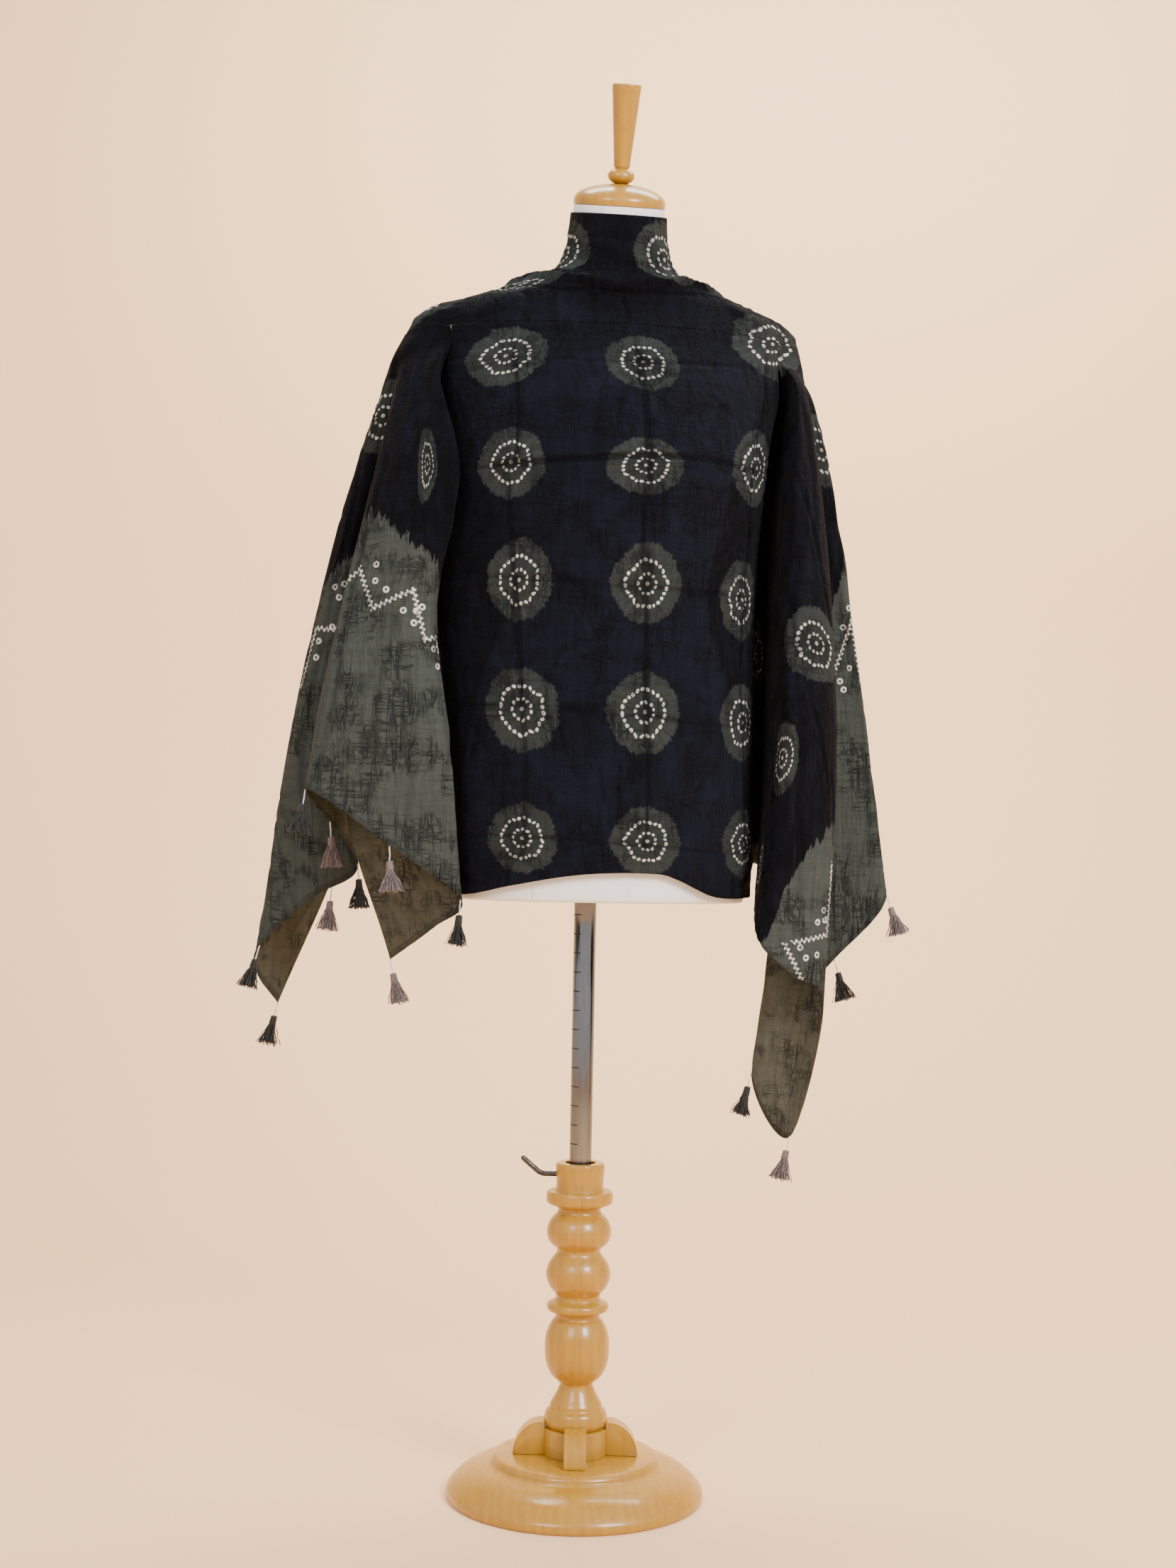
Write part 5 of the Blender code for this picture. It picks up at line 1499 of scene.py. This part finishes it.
def build_form(settings):
    """The torso, its lower edge rounded over, with its panels' seams and the pole's socket."""
    sides = FORM_SIDES
    edge = FORM_BOTTOM + EDGE_ROUNDING[-1][0]
    rows = [(FORM_BOTTOM + rise, lift) for rise, lift in EDGE_ROUNDING]
    rows += [(edge + (FORM_TOP - edge) * step / FORM_ROWS, 0.0) for step in range(1, FORM_ROWS + 1)]
    floor = FORM_BOTTOM + EDGE_FLOOR
    loops = []
    for z, lift in rows:
        loops.append([])
        for i in range(sides):
            spot = over_form(i * 360 / sides, max(z, floor), lift)
            loops[-1].append((spot.x, spot.y, spot.z - max(floor - z, 0.0)))
    socket = []
    for z in (FORM_BOTTOM + SOCKET_DEPTH, FORM_BOTTOM):
        socket.append([])
        for i in range(sides):
            turn = math.tau * i / sides
            spot = (SIDE * math.sin(turn) + FACING * math.cos(turn)) * (POLE_RADIUS + FIT * 1.5)
            socket[-1].append((spot.x, spot.y, z))
    bm = bmesh.new()
    loops_of(bm, socket + loops)
    mesh = finished("form_cover", bm, finish_of("form_cover", form_cotton, settings), angle=50)
    far = []
    for index in range(len(mesh.vertices)):
        ring, place = divmod(index, sides)
        near = min(abs(place * 360 / sides - seam) for seam in FORM_SEAMS)
        height = rows[max(ring - len(socket), 0)][0]
        width = table_at(FORM_SECTIONS, "z", height).half_width
        far.append(math.radians(near) * width if ring >= len(socket) else 1.0)
    mesh.attributes.new("seam", "FLOAT", "POINT").data.foreach_set("value", far)
    show("form_cover", mesh, "form", "form_cotton", "form")


def neck_frame():
    """The plane of the neck's top: its centre, and the turn that lays +Z along its direction."""
    section = table_at(FORM_SECTIONS, "z", FORM_TOP)
    centre = FORM_CENTRE + FACING * section.forward
    lean = Matrix.Rotation(math.radians(FORM_LEAN), 4, FACING)
    tilt = Matrix.Rotation(math.radians(NECK_TILT), 4, SIDE)
    return Matrix.Translation((centre.x, centre.y, FORM_TOP)) @ lean @ tilt


def build_finial(settings):
    """The domed neck cap, and the ball and flared handle on it."""
    cap = [
        Turn(CAP_RADIUS - 0.0015, FIT), Turn(CAP_RADIUS - 0.0003, 0.0010), Turn(CAP_RADIUS, 0.0025),
        Turn(CAP_RADIUS, CAP_EDGE),
    ]
    for i in range(1, 18):
        angle = math.radians(5 * i)
        cap.append(Turn(CAP_RADIUS * math.cos(angle), CAP_EDGE + (CAP_HEIGHT - CAP_EDGE) * math.sin(angle)))
    cap.append(Turn(0.0020, CAP_HEIGHT))
    show_turned("neck_cap", cap, settings, "form", place=neck_frame())
    seat = CAP_HEIGHT - 0.0004
    turned = []
    for i in range(17):
        angle = math.radians(-BALL_CUT + BALL_CUT / 8 * i)
        rise = 0.5 + 0.5 * math.sin(angle) / math.sin(math.radians(BALL_CUT))
        turned.append(Turn(BALL_RADIUS * math.cos(angle), seat + FIT + BALL_HEIGHT * rise))
    top = turned[-1].z
    turned += eased((
        Turn(0.0090, top + 0.002), Turn(0.0094, top + 0.008), Turn(0.0120, top + HANDLE_LENGTH * 0.43),
        Turn(0.0150, top + HANDLE_LENGTH * 0.83), Turn(0.0160, top + HANDLE_LENGTH * 0.97),
        Turn(0.0156, top + HANDLE_LENGTH * 0.99), Turn(0.0140, top + HANDLE_LENGTH),
    ))
    show_turned("finial", turned, settings, "form", place=neck_frame())


# Studio

SWEEP_HALF = 6.0
SWEEP_START = 1.2
SWEEP_RADIUS = 1.4
SWEEP_TOP = 5.0
CAMERA_PLACE = (0.0, -2.32, 0.728)
CAMERA_LENS = 47.2
CAMERA_ROLL = 1.1
CAMERA_SHIFT = (0.001, 0.042)
SKY = (0.97, 0.94, 0.92, 1.0)
SKY_STRENGTH = 1.05
AIM = (0, 0, 0.8)
WALL_AIM = (0.2, 2.4, 0.4)


def soft_light(name, place, target, size, watts, tint):
    light = bpy.data.lights.new(name, "AREA")
    light.shape = "RECTANGLE"
    light.size, light.size_y = size
    light.energy = watts
    light.color = tint
    lamp = bpy.data.objects.new(name, light)
    lamp.location = place
    lamp.rotation_euler = (Vector(target) - Vector(place)).to_track_quat("-Z", "Y").to_euler()
    bpy.context.scene.collection.objects.link(lamp)


def build_stage(settings):
    """A pale paper sweep, soft lights, and the camera in front."""
    g = Graph("paper")
    grain = g.noise(g.place(), 90.0, 3.0)
    pale = g.stain(rgba(settings.floor), rgba(settings.floor, 0.97), grain, 0.3, 0.7, 0.25)
    g.finish(pale, 0.9)
    outline = [(-SWEEP_HALF, 0.0), (SWEEP_START, 0.0)]
    for i in range(1, 13):
        angle = math.radians(7.5 * i)
        rise = SWEEP_RADIUS - SWEEP_RADIUS * math.cos(angle)
        outline.append((SWEEP_START + SWEEP_RADIUS * math.sin(angle), rise))
    outline.append((SWEEP_START + SWEEP_RADIUS, SWEEP_TOP))
    points = [(x, y, z) for y, z in outline for x in (-SWEEP_HALF, SWEEP_HALF)]
    faces = [(2 * i, 2 * i + 1, 2 * i + 3, 2 * i + 2) for i in range(len(outline) - 1)]
    mesh = bpy.data.meshes.new("paper_sweep")
    mesh.from_pydata(points, [], faces)
    mesh.shade_smooth()
    mesh.materials.append(g.material)
    sweep = bpy.data.objects.new("paper_sweep", mesh)
    bpy.context.scene.collection.objects.link(sweep)
    soft_light("key_light", (1.7, -2.3, 2.3), AIM, (1.0, 1.0), settings.key, (1.0, 0.98, 0.95))
    soft_light("wall_light", (0.4, 0.9, 3.1), WALL_AIM, (2.6, 1.0), settings.wall, (1.0, 0.95, 0.88))
    soft_light("fill_light", (-1.4, -2.9, 2.4), AIM, (1.2, 1.2), settings.fill, (0.98, 0.98, 1.0))
    world = bpy.data.worlds.new("studio")
    world.use_nodes = True
    sky = world.node_tree.nodes["Background"]
    sky.inputs["Color"].default_value = SKY
    sky.inputs["Strength"].default_value = SKY_STRENGTH
    bpy.context.scene.world = world
    lens = bpy.data.cameras.new("camera")
    lens.lens = CAMERA_LENS
    lens.sensor_width = 36.0
    lens.shift_x, lens.shift_y = CAMERA_SHIFT
    camera = bpy.data.objects.new("camera", lens)
    turn = Matrix.Rotation(math.radians(90), 4, "X") @ Matrix.Rotation(math.radians(CAMERA_ROLL), 4, "Z")
    camera.matrix_world = Matrix.Translation(CAMERA_PLACE) @ turn
    bpy.context.scene.collection.objects.link(camera)
    bpy.context.scene.camera = camera


# Operators and panel


class STOLE_OT_neck(bpy.types.Operator):
    """Builds the collar and shoulders of the stole"""

    bl_idname = "stole.neck"
    bl_label = "Collar and shoulders"

    def execute(self, context):
        build_neck(context.scene.stole_cloth)
        return {"FINISHED"}


class STOLE_OT_front(bpy.types.Operator):
    """Builds the front panel of the stole"""

    bl_idname = "stole.front"
    bl_label = "Front panel"

    def execute(self, context):
        build_front(context.scene.stole_cloth)
        return {"FINISHED"}


class STOLE_OT_ends(bpy.types.Operator):
    """Builds the two hanging ends of the stole"""

    bl_idname = "stole.ends"
    bl_label = "Hanging ends"

    def execute(self, context):
        for side in ENDS:
            build_end(side, context.scene.stole_cloth)
        return {"FINISHED"}


class STOLE_OT_stitches(bpy.types.Operator):
    """Sews the two end hems"""

    bl_idname = "stole.stitches"
    bl_label = "Hem stitches"

    def execute(self, context):
        build_stitches(context.scene.stole_cloth, context.scene.stole_tassel)
        return {"FINISHED"}


class STOLE_OT_tassels(bpy.types.Operator):
    """Hangs the tassels from the end hems"""

    bl_idname = "stole.tassels"
    bl_label = "Tassels"

    def execute(self, context):
        build_tassels(context.scene.stole_tassel)
        return {"FINISHED"}


class STOLE_OT_form(bpy.types.Operator):
    """Builds the dress form's torso"""

    bl_idname = "stole.form"
    bl_label = "Dress form"

    def execute(self, context):
        build_form(context.scene.stole_stand)
        return {"FINISHED"}


class STOLE_OT_finial(bpy.types.Operator):
    """Builds the neck cap, ball and handle"""

    bl_idname = "stole.finial"
    bl_label = "Neck cap and finial"

    def execute(self, context):
        build_finial(context.scene.stole_stand)
        return {"FINISHED"}


class STOLE_OT_pedestal(bpy.types.Operator):
    """Turns the baluster and the base with its brackets"""

    bl_idname = "stole.pedestal"
    bl_label = "Pedestal"

    def execute(self, context):
        build_base(context.scene.stole_stand)
        build_baluster(context.scene.stole_stand)
        return {"FINISHED"}


class STOLE_OT_metal(bpy.types.Operator):
    """Builds the pole and its clamp lever"""

    bl_idname = "stole.metal"
    bl_label = "Pole and lever"

    def execute(self, context):
        build_pole(context.scene.stole_stand)
        build_lever(context.scene.stole_stand)
        return {"FINISHED"}


class STOLE_OT_stage(bpy.types.Operator):
    """Sets up the paper sweep, lights and camera"""

    bl_idname = "stole.stage"
    bl_label = "Studio"

    def execute(self, context):
        build_stage(context.scene.stole_stage)
        return {"FINISHED"}


class STOLE_PT_panel(bpy.types.Panel):
    """Lists the steps that build the stole"""

    bl_idname = "STOLE_PT_panel"
    bl_label = "Stole"
    bl_space_type = "VIEW_3D"
    bl_region_type = "UI"
    bl_category = "Stole"

    def draw(self, context):
        for operator in OPERATORS:
            self.layout.operator(operator.bl_idname)


OPERATORS = (
    STOLE_OT_neck, STOLE_OT_front, STOLE_OT_ends, STOLE_OT_stitches, STOLE_OT_tassels,
    STOLE_OT_form, STOLE_OT_finial, STOLE_OT_pedestal, STOLE_OT_metal, STOLE_OT_stage,
)
GROUPS = {
    "stole_cloth": StoleSettings,
    "stole_tassel": TasselSettings,
    "stole_stand": StandSettings,
    "stole_stage": StageSettings,
}


def register():
    for group in GROUPS.values():
        bpy.utils.register_class(group)
    for name, group in GROUPS.items():
        setattr(bpy.types.Scene, name, bpy.props.PointerProperty(type=group))
    for operator in OPERATORS:
        bpy.utils.register_class(operator)
    bpy.utils.register_class(STOLE_PT_panel)


def unregister():
    bpy.utils.unregister_class(STOLE_PT_panel)
    for operator in reversed(OPERATORS):
        bpy.utils.unregister_class(operator)
    for name in GROUPS:
        delattr(bpy.types.Scene, name)
    for group in reversed(GROUPS.values()):
        bpy.utils.unregister_class(group)


def main():
    register()
    bpy.ops.stole.neck()
    bpy.ops.stole.front()
    bpy.ops.stole.ends()
    bpy.ops.stole.stitches()
    bpy.ops.stole.tassels()
    bpy.ops.stole.form()
    bpy.ops.stole.finial()
    bpy.ops.stole.pedestal()
    bpy.ops.stole.metal()
    bpy.ops.stole.stage()


if __name__ == "__main__":
    main()
